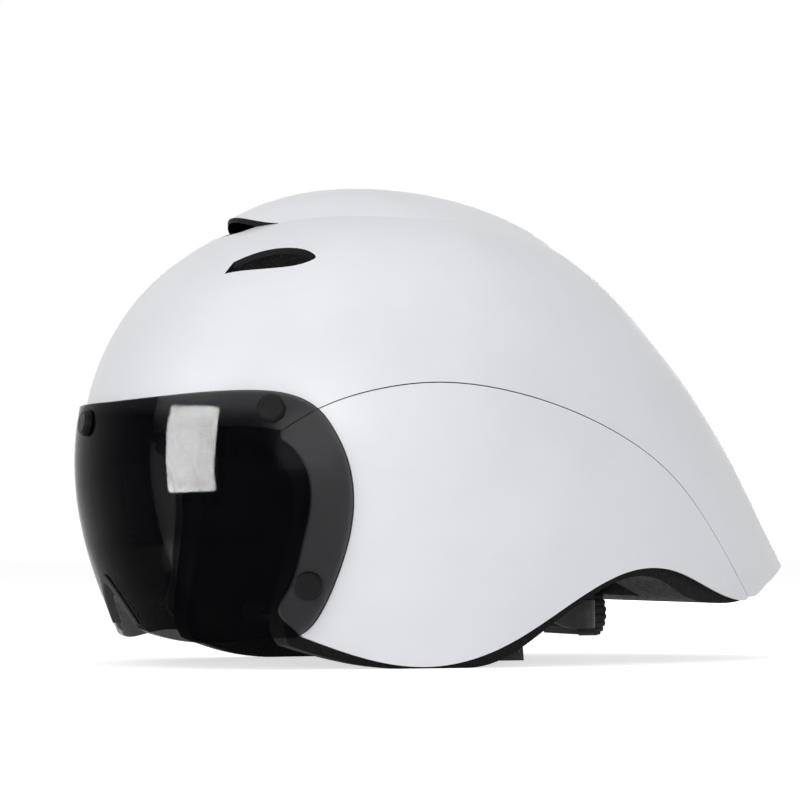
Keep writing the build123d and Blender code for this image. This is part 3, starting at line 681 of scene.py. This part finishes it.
finishes: dict[Slot, Finish] = {
    Slot.SHELL: SatinPaint("satin_white_paint", (0.785, 0.792, 0.822), 0.36),
    Slot.FOAM: BeadFoam("black_bead_foam", (0.008, 0.008, 0.009), 0.66),
    Slot.LENS: SmokedLens("smoked_lens", (0.0015, 0.0015, 0.0025), 0.02),
    Slot.CAP: GrainedPlastic("charcoal_cap", (0.006, 0.006, 0.007), 0.40,
                             grain_size=0.35 * mm, grain_depth=0.012 * mm, gloss=0.10),
    Slot.MAGNET: PlatedMetal("plated_magnet", (0.60, 0.60, 0.61), 0.28),
    Slot.SEAL: GrainedPlastic("seal_rubber", (0.012, 0.012, 0.013), 0.62,
                              grain_size=0.5 * mm, grain_depth=0.02 * mm),
    Slot.PAD: BrushedKnit("brushed_knit", (0.030, 0.030, 0.034), 0.86),
    Slot.FIT: GrainedPlastic("fit_nylon", (0.010, 0.010, 0.011), 0.50, gloss=0.22),
    Slot.DIAL: GrainedPlastic("dial_grip", (0.017, 0.017, 0.019), 0.66,
                              grain_size=0.7 * mm, grain_depth=0.05 * mm, gloss=0.25),
    Slot.SCREW: PlatedMetal("zinc_screw", (0.42, 0.42, 0.44), 0.34, line_size=0.5 * mm),
    Slot.WEB: WovenWeb("woven_webbing", (0.014, 0.014, 0.016), 0.78),
    Slot.BUCKLE: GrainedPlastic("buckle_acetal", (0.016, 0.016, 0.018), 0.36,
                                grain_size=0.8 * mm, grain_depth=0.015 * mm),
    Slot.KEEPER: GrainedPlastic("keeper_rubber", (0.014, 0.014, 0.014), 0.70,
                                grain_size=0.4 * mm, grain_depth=0.02 * mm),
}
thread_finish = BrushedKnit("sewing_thread", (0.050, 0.050, 0.056), 0.7,
                            loop_size=0.3 * mm, loop_depth=0.05 * mm)


def smooth_share(values: np.ndarray) -> np.ndarray:
    """Smooth step of values cut to 0 to 1: three times the square less twice the cube."""
    cut = np.clip(values, 0, 1)
    return cut * cut * (3 - 2 * cut)


def bell(values: np.ndarray) -> np.ndarray:
    """Bell curve: 1 at 0, and the exponential of less the square elsewhere."""
    return np.exp(-(values**2))


def unit(rows: np.ndarray) -> np.ndarray:
    """Rows divided by their length, which makes it 1."""
    return rows / np.maximum(np.linalg.norm(rows, axis=-1, keepdims=True), tiny)


def run_length(points: np.ndarray) -> np.ndarray:
    """Length of a line up to each of its points: the sum of the steps before it."""
    return np.concatenate([[0], np.cumsum(np.linalg.norm(np.diff(points, axis=0), axis=1))])


def coordinates(mesh: bpy.types.Mesh) -> np.ndarray:
    """Vertices of a mesh as rows.

    Args:
        mesh: The mesh.

    Returns:
        An array of one row a vertex.
    """
    flat = np.zeros(len(mesh.vertices) * 3)
    mesh.vertices.foreach_get("co", flat)
    return flat.reshape(-1, 3)


def normals(mesh: bpy.types.Mesh) -> np.ndarray:
    """Vertex normals of a mesh as rows.

    Args:
        mesh: The mesh.

    Returns:
        An array of one row a vertex.
    """
    flat = np.zeros(len(mesh.vertices) * 3)
    mesh.vertex_normals.foreach_get("vector", flat)
    return flat.reshape(-1, 3)


def moved_to(mesh: bpy.types.Mesh, rows: np.ndarray) -> None:
    """Put a mesh's vertices at new places.

    Args:
        mesh: The mesh.
        rows: One row a vertex.
    """
    mesh.vertices.foreach_set("co", rows.ravel())
    mesh.update()


def smoothed(mesh: bpy.types.Mesh) -> None:
    """Shade every face of a mesh smoothly."""
    mesh.polygons.foreach_set("use_smooth", np.ones(len(mesh.polygons), dtype=bool))


def linked(name: str, data: bpy.types.ID) -> bpy.types.Object:
    """Make an object and link it to the scene.

    Args:
        name: Name of the object.
        data: Its mesh, lamp or camera.

    Returns:
        The object.
    """
    made = bpy.data.objects.new(name, data)
    bpy.context.scene.collection.objects.link(made)
    return made


def surface_object(name: str, points: np.ndarray, faces: list[list[int]]) -> bpy.types.Object:
    """Make an object from points and faces.

    Args:
        name: Name of the object.
        points: One row a vertex.
        faces: Vertex numbers of each face.

    Returns:
        The object, smooth shaded and linked to the scene.
    """
    mesh = bpy.data.meshes.new(name)
    mesh.from_pydata(points.tolist(), [], faces)
    mesh.update()
    smoothed(mesh)
    return linked(name, mesh)


def ring_faces(rings: int, around: int) -> list[list[int]]:
    """Faces of a closed tube of rings, with a flat cap at each end.

    A wall's face joins a point and the next one in its ring to the same two in the next ring.

    Args:
        rings: Number of rings.
        around: Points in a ring, counted so that the tube faces outwards.

    Returns:
        Vertex numbers of each face.
    """
    start = np.arange(rings - 1)[:, None] * around
    here = np.arange(around)[None, :]
    after = (here + 1) % around
    walls = np.stack([start + here, start + after, start + after + around, start + here + around], -1)
    first = list(range(around))[::-1]
    last = [(rings - 1) * around + k for k in range(around)]
    return walls.reshape(-1, 4).tolist() + [first, last]


def dress(piece: bpy.types.Object, finish: Finish, body: Body | None) -> None:
    """Give a piece its finish and the body that it rides on.

    Args:
        piece: The piece.
        finish: Its finish.
        body: The body, or None where the piece bends between two.
    """
    piece.data.materials.clear()
    piece.data.materials.append(finish.material())
    if body:
        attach(piece, body.value)
    log.info("%s: %d faces", piece.name, len(piece.data.polygons))


def applied(piece: bpy.types.Object) -> None:
    """Turn a piece's modifiers into its mesh.

    Args:
        piece: The piece.
    """
    depsgraph = bpy.context.evaluated_depsgraph_get()
    done = bpy.data.meshes.new_from_object(piece.evaluated_get(depsgraph))
    piece.modifiers.clear()
    piece.data = done


@dataclass(frozen=True)
class Lamp:
    """A soft rectangular lamp: its centre, its width and height, and its power in watts."""

    name: str
    place: tuple[float, float, float]
    size: tuple[float, float]
    power: float


@dataclass
class Studio:
    """Camera, lamps, world and floor."""

    camera_place: tuple[float, float, float] = (1.38181, -0.58011, 0.052)
    camera_aim: tuple[float, float, float] = (-0.9262, 0.3742, 0.0467)
    focal_length: float = 143.8
    sensor_width: float = 36.0
    sight: float = 100.0
    world_level: float = 0.40
    floor_half: float = 12.0
    floor_tone: float = 0.80
    floor_roughness: float = 0.9
    floor_lift: float = 0.66
    lamp_aim: tuple[float, float, float] = (0.0, -0.02, 0.11)
    lamps: tuple[Lamp, ...] = (
        Lamp("overhead", (0.25, 0.1, 1.7), (1.8, 1.8), 5.2),
        Lamp("ahead", (0.35, -1.9, 0.55), (1.0, 1.0), 7.1),
        Lamp("beside", (1.9, -0.7, 0.30), (0.9, 0.6), 17.3),
        Lamp("behind", (-1.8, 0.9, 0.32), (1.2, 0.6), 9.0),
    )
    window: Lamp = Lamp("window", (0.163, -0.5, 0.124), (0.225, 0.225), 60.0)

    def pale_factor(self, graph: Graph) -> Signal:
        """1 for rays that show the background: seen, mirrored or through glass.

        Args:
            graph: The tree to add to.

        Returns:
            The factor.
        """
        seen = graph.add("ShaderNodeLightPath", output="Is Camera Ray")
        mirrored = graph.add("ShaderNodeLightPath", output="Is Glossy Ray")
        through = graph.add("ShaderNodeLightPath", output="Is Transmission Ray")
        return seen.maths("MAXIMUM", mirrored).maths("MAXIMUM", through)

    def build_camera(self) -> None:
        """Place the camera at the viewing angle."""
        data = bpy.data.cameras.new("camera")
        data.lens = self.focal_length
        data.sensor_width = self.sensor_width
        data.clip_end = self.sight
        camera = linked("camera", data)
        camera.location = self.camera_place
        camera.rotation_euler = Vector(self.camera_aim).to_track_quat("-Z", "Y").to_euler()
        bpy.context.scene.camera = camera

    def build_world(self) -> None:
        """White background and an even light from all round."""
        world = bpy.data.worlds.new("studio")
        bpy.context.scene.world = world
        world.use_nodes = True
        graph = Graph(world.node_tree)
        strength = self.pale_factor(graph) * (1.0 - self.world_level) + self.world_level
        glow = graph.add("ShaderNodeBackground", {}, {"Color": white, "Strength": strength})
        graph.add("ShaderNodeOutputWorld", {}, {"Surface": glow})

    def build_lamp(self, lamp: Lamp) -> bpy.types.Object:
        """Make a lamp that faces the helmet.

        Args:
            lamp: Where it stands, its size and its power.

        Returns:
            The lamp, which the camera doesn't see.
        """
        data = bpy.data.lights.new(lamp.name, "AREA")
        data.shape = "RECTANGLE"
        data.size, data.size_y = lamp.size
        data.energy = lamp.power
        made = linked(lamp.name, data)
        made.location = lamp.place
        aim = Vector(self.lamp_aim) - Vector(lamp.place)
        made.rotation_euler = aim.to_track_quat("-Z", "Y").to_euler()
        made.visible_camera = False
        return made

    def build_window(self) -> None:
        """Bright square panel ahead that only the visor's lens mirrors."""
        lamp = self.build_lamp(self.window)
        lamp.visible_diffuse = False
        mirrors = bpy.data.collections.new("window_mirrors")
        mirrors.objects.link(frame["nodes"]["visor_lens"])
        lamp.light_linking.receiver_collection = mirrors

    def build_floor(self) -> None:
        """Plain pale floor that keeps the helmet's shadow."""
        half = self.floor_half
        corners = np.array([[-half, -half, 0], [half, -half, 0], [half, half, 0], [-half, half, 0]])
        floor = surface_object("floor", corners, [[0, 1, 2, 3]])
        made = bpy.data.materials.new("pale_floor")
        made.use_nodes = True
        graph = Graph(made.node_tree)
        tone = (self.floor_tone, self.floor_tone, self.floor_tone, 1.0)
        sockets = {"Base Color": tone, "Roughness": self.floor_roughness, "Specular IOR Level": 0.0,
                   "Emission Color": white, "Emission Strength": self.pale_factor(graph) * self.floor_lift}
        surface = graph.add("ShaderNodeBsdfPrincipled", {}, sockets)
        graph.add("ShaderNodeOutputMaterial", {}, {"Surface": surface})
        floor.data.materials.append(made)

    def build(self) -> None:
        """Set up everything that isn't the helmet."""
        bpy.context.scene.view_settings.view_transform = "Standard"
        self.build_camera()
        self.build_world()
        self.build_floor()
        for lamp in self.lamps:
            self.build_lamp(lamp)
        self.build_window()
        log.info("studio: camera, floor, %d lamps and a window", len(self.lamps))


@dataclass
class Hardware:
    """Rigid CAD pieces that keep their shape and get their finish."""

    soft: tuple[str, ...] = (
        "brow_pad", "crown_pads", "side_pads", "cradle_pad", "front_strap_left", "front_strap_right",
        "rear_strap_left", "rear_strap_right", "chin_strap_left", "chin_strap_right",
    )

    def build(self) -> None:
        """Dress every rigid node with the finish of its slot."""
        slots = {part["node"]: part["material_slot"] for part in frame["record"]["subparts"]}
        for name, node in frame["nodes"].items():
            if name in self.soft:
                continue
            finish = finishes[Slot(slots[name])]
            for held in node.material_slots:
                held.material = finish.material()
            log.info("%s: %s", name, finish.name)


@dataclass(frozen=True)
class PadShape:
    """Where one kind of pad lies, and how it is sewn."""

    node: str
    along: Axis
    across: Axis
    centres: tuple[tuple[float, float], ...]
    length: float
    width: float
    corner: float
    channels: int
    channel_step: float
    body: Body = Body.HELMET
    flat: bool = False

    def channel_places(self) -> list[float]:
        """Places of the sewn channels from the pad's middle: steps counted from half their number."""
        return [(number - (self.channels - 1) / 2) * self.channel_step for number in range(self.channels)]


pad_shapes = (
    PadShape("brow_pad", Axis.X, Axis.Z, ((0.0, 124 * mm),), length=112 * mm, width=22 * mm,
             corner=5 * mm, channels=5, channel_step=20 * mm),
    PadShape("crown_pads", Axis.Y, Axis.X, ((-28 * mm, 29 * mm), (-28 * mm, -29 * mm)), length=96 * mm,
             width=19 * mm, corner=5 * mm, channels=5, channel_step=16 * mm),
    PadShape("side_pads", Axis.Y, Axis.Z, ((2 * mm, 106 * mm),), length=48 * mm, width=24 * mm,
             corner=5 * mm, channels=3, channel_step=12 * mm),
    PadShape("cradle_pad", Axis.X, Axis.Z, ((0.0, 22 * mm),), length=34 * mm, width=15 * mm,
             corner=3 * mm, channels=2, channel_step=16 * mm, body=Body.CRADLE, flat=True),
)


@dataclass
class Pads:
    """Comfort pads: swollen by cloth simulation, then sewn."""

    voxel: float = 1.5 * mm
    shrink: float = 0.35 * mm
    glued_share: float = 0.3
    frames: int = 20
    pressure: float = 4.0
    cloth_quality: int = 5
    most_swell: float = 0.9 * mm
    free_from: float = 0.35
    free_span: float = 0.3
    seam_inset: float = 2.6 * mm
    seam_width: float = 0.8 * mm
    seam_depth: float = 0.55 * mm
    channel_width: float = 1.5 * mm
    channel_depth: float = 1.25 * mm

    def free_share(self, shape: PadShape, points: np.ndarray) -> np.ndarray:
        """How far each point lies from the glued back, from 0 at the back to 1 at the free face.

        The depth is measured in the egg-shaped cavity as one less the root of the sum of the squared
        shares of its half axes, and straight along the length on the flat pad.

        Args:
            shape: The pad.
            points: One row a point.

        Returns:
            One share a point.
        """
        if shape.flat:
            depth = -points[:, Axis.Y]
        else:
            away = (points - cavity_centre) / cavity_half
            away[:, Axis.Z] = np.maximum(away[:, Axis.Z], 0)
            depth = 1 - np.linalg.norm(away, axis=1)
        low, high = depth.min(), depth.max()
        return (depth - low) / (high - low)

    def outline_distance(self, shape: PadShape, points: np.ndarray) -> np.ndarray:
        """Distance inside the pad's rounded outline, in the plane that it is drawn in.

        For a rounded rectangle it is the corner radius, less the length of what the point lies past
        the corner's centre, less the larger negative part.

        Args:
            shape: The pad.
            points: One row a point.

        Returns:
            One distance a point, above 0 inside.
        """
        best = np.full(len(points), -1.0)
        for along, across in shape.centres:
            gap = np.stack([np.abs(points[:, shape.along] - along) - shape.length / 2 + shape.corner,
                            np.abs(points[:, shape.across] - across) - shape.width / 2 + shape.corner], 1)
            outside = np.linalg.norm(np.maximum(gap, 0), axis=1)
            inside = np.minimum(gap.max(axis=1), 0)
            best = np.maximum(best, shape.corner - outside - inside)
        return best

    def blank(self, shape: PadShape) -> bpy.types.Object:
        """Evenly meshed copy of the pad's solid, a little smaller.

        Each point moves by its normal times the shrink, inwards.

        Args:
            shape: The pad.

        Returns:
            The cover, before it is swollen.
        """
        name = f"{shape.node}_cover"
        mesh = bmesh.new()
        mesh.from_mesh(frame["nodes"][shape.node].data)
        bmesh.ops.remove_doubles(mesh, verts=mesh.verts, dist=weld)
        data = bpy.data.meshes.new(name)
        mesh.to_mesh(data)
        mesh.free()
        piece = linked(name, data)
        remesh = piece.modifiers.new("voxels", "REMESH")
        remesh.mode = "VOXEL"
        remesh.voxel_size = self.voxel
        applied(piece)
        moved_to(piece.data, coordinates(piece.data) - normals(piece.data) * self.shrink)
        return piece

    def swell(self, shape: PadShape, piece: bpy.types.Object) -> None:
        """Blow the cover up by cloth simulation, with its back held.

        A point's shift is cut to the largest swell by the smaller of one and that swell over its length.

        Args:
            shape: The pad.
            piece: Its cover.
        """
        rest = coordinates(piece.data)
        glued = np.flatnonzero(self.free_share(shape, rest) < self.glued_share)
        group = piece.vertex_groups.new(name="glued")
        group.add(glued.tolist(), 1.0, "REPLACE")
        cloth = piece.modifiers.new("cloth", "CLOTH")
        cloth.settings.use_pressure = True
        cloth.settings.uniform_pressure_force = self.pressure
        cloth.settings.vertex_group_mass = group.name
        cloth.settings.effector_weights.gravity = 0.0
        cloth.settings.quality = self.cloth_quality
        cloth.point_cache.frame_start = 1
        cloth.point_cache.frame_end = self.frames
        scene = bpy.context.scene
        for number in range(1, self.frames + 1):
            scene.frame_set(number)
        applied(piece)
        scene.frame_set(1)
        shift = np.nan_to_num(coordinates(piece.data) - rest)
        length = np.linalg.norm(shift, axis=1, keepdims=True)
        moved_to(piece.data, rest + shift * np.minimum(1, self.most_swell / np.maximum(length, tiny)))

    def sew(self, shape: PadShape, piece: bpy.types.Object) -> None:
        """Press the border seam and the sewn channels into the free face.

        Each groove is its depth times the bell curve of the distance to its line over its width.

        Args:
            shape: The pad.
            piece: Its cover.
        """
        finer = piece.modifiers.new("finer", "SUBSURF")
        finer.levels = finer.render_levels = 1
        applied(piece)
        points, outwards = coordinates(piece.data), normals(piece.data)
        free = smooth_share((self.free_share(shape, points) - self.free_from) / self.free_span)
        inside = self.outline_distance(shape, points)
        seam = self.seam_depth * bell((inside - self.seam_inset) / self.seam_width)
        from_middle = points[:, shape.along] - shape.centres[0][0]
        channel = np.zeros(len(points))
        for place in shape.channel_places():
            channel = np.maximum(channel, bell((from_middle - place) / self.channel_width))
        channel *= self.channel_depth * smooth_share(inside / (2 * self.seam_inset))
        moved_to(piece.data, points - outwards * (free * np.maximum(seam, channel))[:, None])
        smoothed(piece.data)

    def build(self) -> None:
        """Make each pad's cover in place of its solid."""
        for shape in pad_shapes:
            piece = self.blank(shape)
            self.swell(shape, piece)
            self.sew(shape, piece)
            dress(piece, finishes[Slot.PAD], shape.body)
            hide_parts(shape.node)


@dataclass(frozen=True)
class Strap:
    """One band of webbing between two points, and the shares of it where its stitches lie."""

    node: str
    start: np.ndarray
    end: np.ndarray
    sag: float
    body: Body | None = Body.HELMET
    sewn: tuple[float, ...] = (0.06, 0.94)
    from_wall: bool = False
    hangs: bool = False


@dataclass(frozen=True)
class WallRun:
    """Where a strap starts on the cavity's wall, and where it meets the divider."""

    name: str
    wall_y: float
    wall_z: float
    divider_y: float


@dataclass
class Webbing:
    """Straps, with rounded edges, a thicker selvedge and rows of stitching."""

    rings: int = 49
    side_points: int = 13
    edge_round: float = 0.45 * mm
    selvedge: float = 0.12 * mm
    selvedge_width: float = 1.2 * mm
    wall_runs: tuple[WallRun, ...] = (
        WallRun("front", -66 * mm, 22 * mm, -46 * mm),
        WallRun("rear", 2 * mm, 23 * mm, -30 * mm),
    )
    wall_sag: float = 1.0 * mm
    anchor_gap: float = 0.75 * mm
    anchor_plate: float = 3 * mm
    seat: float = 0.35 * mm
    divider_x: float = 54 * mm
    divider_top: float = 12 * mm
    divider_y: float = -38 * mm
    divider_half: float = 9 * mm
    chin_left_x: float = 38.35 * mm
    chin_right_x: float = -4.35 * mm
    chin_buckle_z: float = 9 * mm
    chin_divider_z: float = 10 * mm
    chin_sag: float = 0.5 * mm
    chin_sewn: float = 0.12
    tail_off_wall: float = 6.5 * mm
    tail_top: float = 19.5 * mm
    tail_end: float = 2.2 * mm
    tail_y: float = 1.5 * mm
    tail_lean: float = 2.5 * mm
    tail_sewn: float = 0.75
    stitch_long: float = 2.2 * mm
    stitch_thick: float = 0.34 * mm
    stitch_gap: float = 1.0 * mm
    stitch_sunk: float = 0.1 * mm
    stitch_steps: tuple[int, ...] = (-2, -1, 0, 1, 2)
    stitch_rows: tuple[float, ...] = (-5.2 * mm, -1.8 * mm, 1.8 * mm, 5.2 * mm)
    bead_rings: int = 5
    bead_sides: int = 6

    def wall_point(self, side: int, y: float, z: float) -> np.ndarray:
        """Place on the cavity's wall where a strap starts, at the face of its anchor plate.

        The wall is an ellipse in plan: the half width times the root of one less the squared share.

        Args:
            side: 1 on the wearer's left, -1 on the right.
            y: Place along the length.
            z: Height.

        Returns:
            The point.
        """
        share = (y - cavity_centre[Axis.Y]) / cavity_half[Axis.Y]
        x = side * cavity_half[Axis.X] * math.sqrt(1 - share**2)
        return np.array([x, y, z])

    def wall_straps(self, name: str, side: int) -> list[Strap]:
        """The straps that run from one wall to the divider.

        Args:
            name: Name of the side.
            side: 1 on the wearer's left, -1 on the right.

        Returns:
            The front and the rear strap.
        """
        top = self.divider_top + self.seat + web_thick / 2
        return [Strap(f"{run.name}_strap_{name}", self.wall_point(side, run.wall_y, run.wall_z),
                      np.array([side * self.divider_x, run.divider_y, top]), self.wall_sag, from_wall=True)
                for run in self.wall_runs]

    def chin_straps(self) -> list[Strap]:
        """The two halves of the chin strap, from the buckle to the dividers.

        Returns:
            The left half, and the right one, which bends between the buckle and the helmet.
        """
        inner = self.divider_x - self.divider_half - self.seat
        left, right = ((np.array([buckle_x, self.divider_y, self.chin_buckle_z]),
                        np.array([side * inner, self.divider_y, self.chin_divider_z]))
                       for side, buckle_x in ((1, self.chin_left_x), (-1, self.chin_right_x)))
        return [Strap("chin_strap_left", *left, self.chin_sag, sewn=()),
                Strap("chin_strap_right", *right, self.chin_sag, None, sewn=(self.chin_sewn,))]

    def tail(self, name: str, side: int) -> Strap:
        """The loose end of a rear strap, which hangs below its anchor.

        Args:
            name: Name of the side.
            side: 1 on the wearer's left, -1 on the right.

        Returns:
            The hanging end.
        """
        top = self.wall_point(side, self.tail_y, self.tail_top) - np.array([side * self.tail_off_wall, 0, 0])
        low = np.array([top[Axis.X] - side * self.tail_lean, top[Axis.Y] + self.tail_lean, self.tail_end])
        return Strap(f"rear_tail_{name}", top, low, 0.0, sewn=(self.tail_sewn,), hangs=True)

    def straps(self) -> list[Strap]:
        """Every strap, with its ends as the CAD solids have them, and the loose ends.

        Returns:
            The straps.
        """
        sides = (("left", 1), ("right", -1))
        walls = [strap for name, side in sides for strap in self.wall_straps(name, side)]
        return walls + self.chin_straps() + [self.tail(name, side) for name, side in sides]

    def route(self, strap: Strap) -> tuple[np.ndarray, np.ndarray, np.ndarray]:
        """Centreline of a strap, its direction across and its upper side.

        The line is the straight run less the sag times four times the share times one less the share.
        A strap from the wall starts where its anchor plate's face and seat end.

        Args:
            strap: The strap.

        Returns:
            Points, directions across and normals, one row a ring.
        """
        run = strap.end - strap.start
        first = 0.0
        if strap.from_wall:
            inwards = (cavity_centre - strap.start) / cavity_half**2
            inwards[Axis.Z] = 0.0
            first = (self.anchor_gap + self.anchor_plate + self.seat) / float(np.dot(run, unit(inwards)))
        share = np.linspace(first, 1, self.rings)[:, None]
        points = strap.start + run * share
        points[:, Axis.Z:] -= 4 * strap.sag * share * (1 - share)
        level = unit(run * np.array([1.0, 1.0, 0.0]))
        sideways = np.array([0.0, 1.0, 0.0]) if strap.hangs else np.cross(level, [0.0, 0.0, 1.0])
        across = np.tile(sideways, (self.rings, 1))
        return points, across, unit(np.cross(across, unit(np.gradient(points, axis=0))))

    def section(self) -> np.ndarray:
        """Outline of the band across: flat faces, rounded edges and a raised selvedge.

        The half height is the flat one plus the selvedge's bell curve, and falls to nothing at the edge
        along a quarter ellipse.

        Returns:
            Rows of place across and height, once round.
        """
        half = web_width / 2
        x = half * np.sin(np.linspace(-math.pi / 2, math.pi / 2, self.side_points))
        from_edge = half - np.abs(x)
        edging = self.selvedge * bell((from_edge - self.selvedge_width) / self.selvedge_width)
        near = np.clip(from_edge / self.edge_round, 0, 1)
        rise = (web_thick / 2 - self.selvedge + edging) * np.sqrt(np.maximum(1 - (1 - near) ** 2, 0))
        upper = np.stack([x, rise], 1)
        lower = np.stack([x[::-1], -rise[::-1]], 1)[1:-1]
        return np.concatenate([upper, lower])

    def band(self, strap: Strap) -> bpy.types.Object:
        """Mesh of a strap: its section carried along its route.

        A point is the route's point, plus the place across times the direction across, plus the
        height times the upper side.

        Args:
            strap: The strap.

        Returns:
            The piece, with a map in metres along and across.
        """
        points, across, up = self.route(strap)
        section = self.section()
        around = len(section)
        rows = (points[:, None, :] + across[:, None, :] * section[None, :, :1]
                + up[:, None, :] * section[None, :, 1:])
        piece = surface_object(f"{strap.node}_web", rows.reshape(-1, 3), ring_faces(self.rings, around))
        flat = np.stack([np.repeat(run_length(points), around), np.tile(section[:, 0], self.rings)], 1)
        corners = np.zeros(len(piece.data.loops), dtype=int)
        piece.data.loops.foreach_get("vertex_index", corners)
        layer = piece.data.uv_layers.new(name=strap_map)
        layer.data.foreach_set("uv", flat[corners].ravel())
        return piece

    def stitches(self, strap: Strap) -> bpy.types.Object | None:
        """Rows of thread across a strap's sewn ends, as small flat beads.

        Each bead is an ellipsoid: sines and cosines of two angles times its half length, half width
        and half height.

        Args:
            strap: The strap.

        Returns:
            The piece, or None where nothing is sewn.
        """
        if not strap.sewn:
            return None
        points, across, up = self.route(strap)
        along = unit(np.gradient(points, axis=0))
        run = run_length(points)
        tilt = np.linspace(0, math.pi, self.bead_rings)[:, None]
        turn = np.linspace(0, math.tau, self.bead_sides, endpoint=False)[None, :]
        bead = np.stack([np.cos(tilt) * self.stitch_long / 2 + 0 * turn,
                         np.sin(tilt) * np.cos(turn) * self.stitch_thick,
                         np.sin(tilt) * np.sin(turn) * self.stitch_thick], -1).reshape(-1, 3)
        faces, rows = [], []
        walls = np.array(ring_faces(self.bead_rings, self.bead_sides)[:-2])
        for share in strap.sewn:
            for step in self.stitch_steps:
                place = run[-1] * share + step * (self.stitch_long + self.stitch_gap)
                if not self.stitch_long < place < run[-1] - self.stitch_long:
                    continue
                k = int(np.searchsorted(run, place))
                spun = bead @ np.stack([along[k], across[k], up[k]])
                for shift in self.stitch_rows:
                    for face in (1, -1):
                        out = face * (web_thick / 2 - self.stitch_sunk)
                        faces += (walls + len(rows) * len(bead)).tolist()
                        rows.append(points[k] + across[k] * shift + up[k] * out + spun)
        piece = surface_object(f"{strap.node}_stitches", np.concatenate(rows), faces)
        mesh = bmesh.new()
        mesh.from_mesh(piece.data)
        bmesh.ops.remove_doubles(mesh, verts=mesh.verts, dist=weld)
        bmesh.ops.recalc_face_normals(mesh, faces=mesh.faces)
        mesh.to_mesh(piece.data)
        mesh.free()
        return piece

    def build(self) -> None:
        """Make every strap in place of its solid, with its stitching."""
        for strap in self.straps():
            pieces = [self.band(strap), self.stitches(strap)]
            for piece, finish in zip(pieces, (finishes[Slot.WEB], thread_finish)):
                if piece is None:
                    continue
                dress(piece, finish, strap.body)
                if strap.body is None:
                    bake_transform(piece)
            if strap.node in frame["nodes"]:
                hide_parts(strap.node)


def main() -> None:
    """Build the studio and the helmet, one sub-assembly after another."""
    logging.basicConfig(level=logging.INFO, format="%(name)s: %(message)s")
    Studio().build()
    Hardware().build()
    Pads().build()
    Webbing().build()


if __name__ == "__main__":
    main()
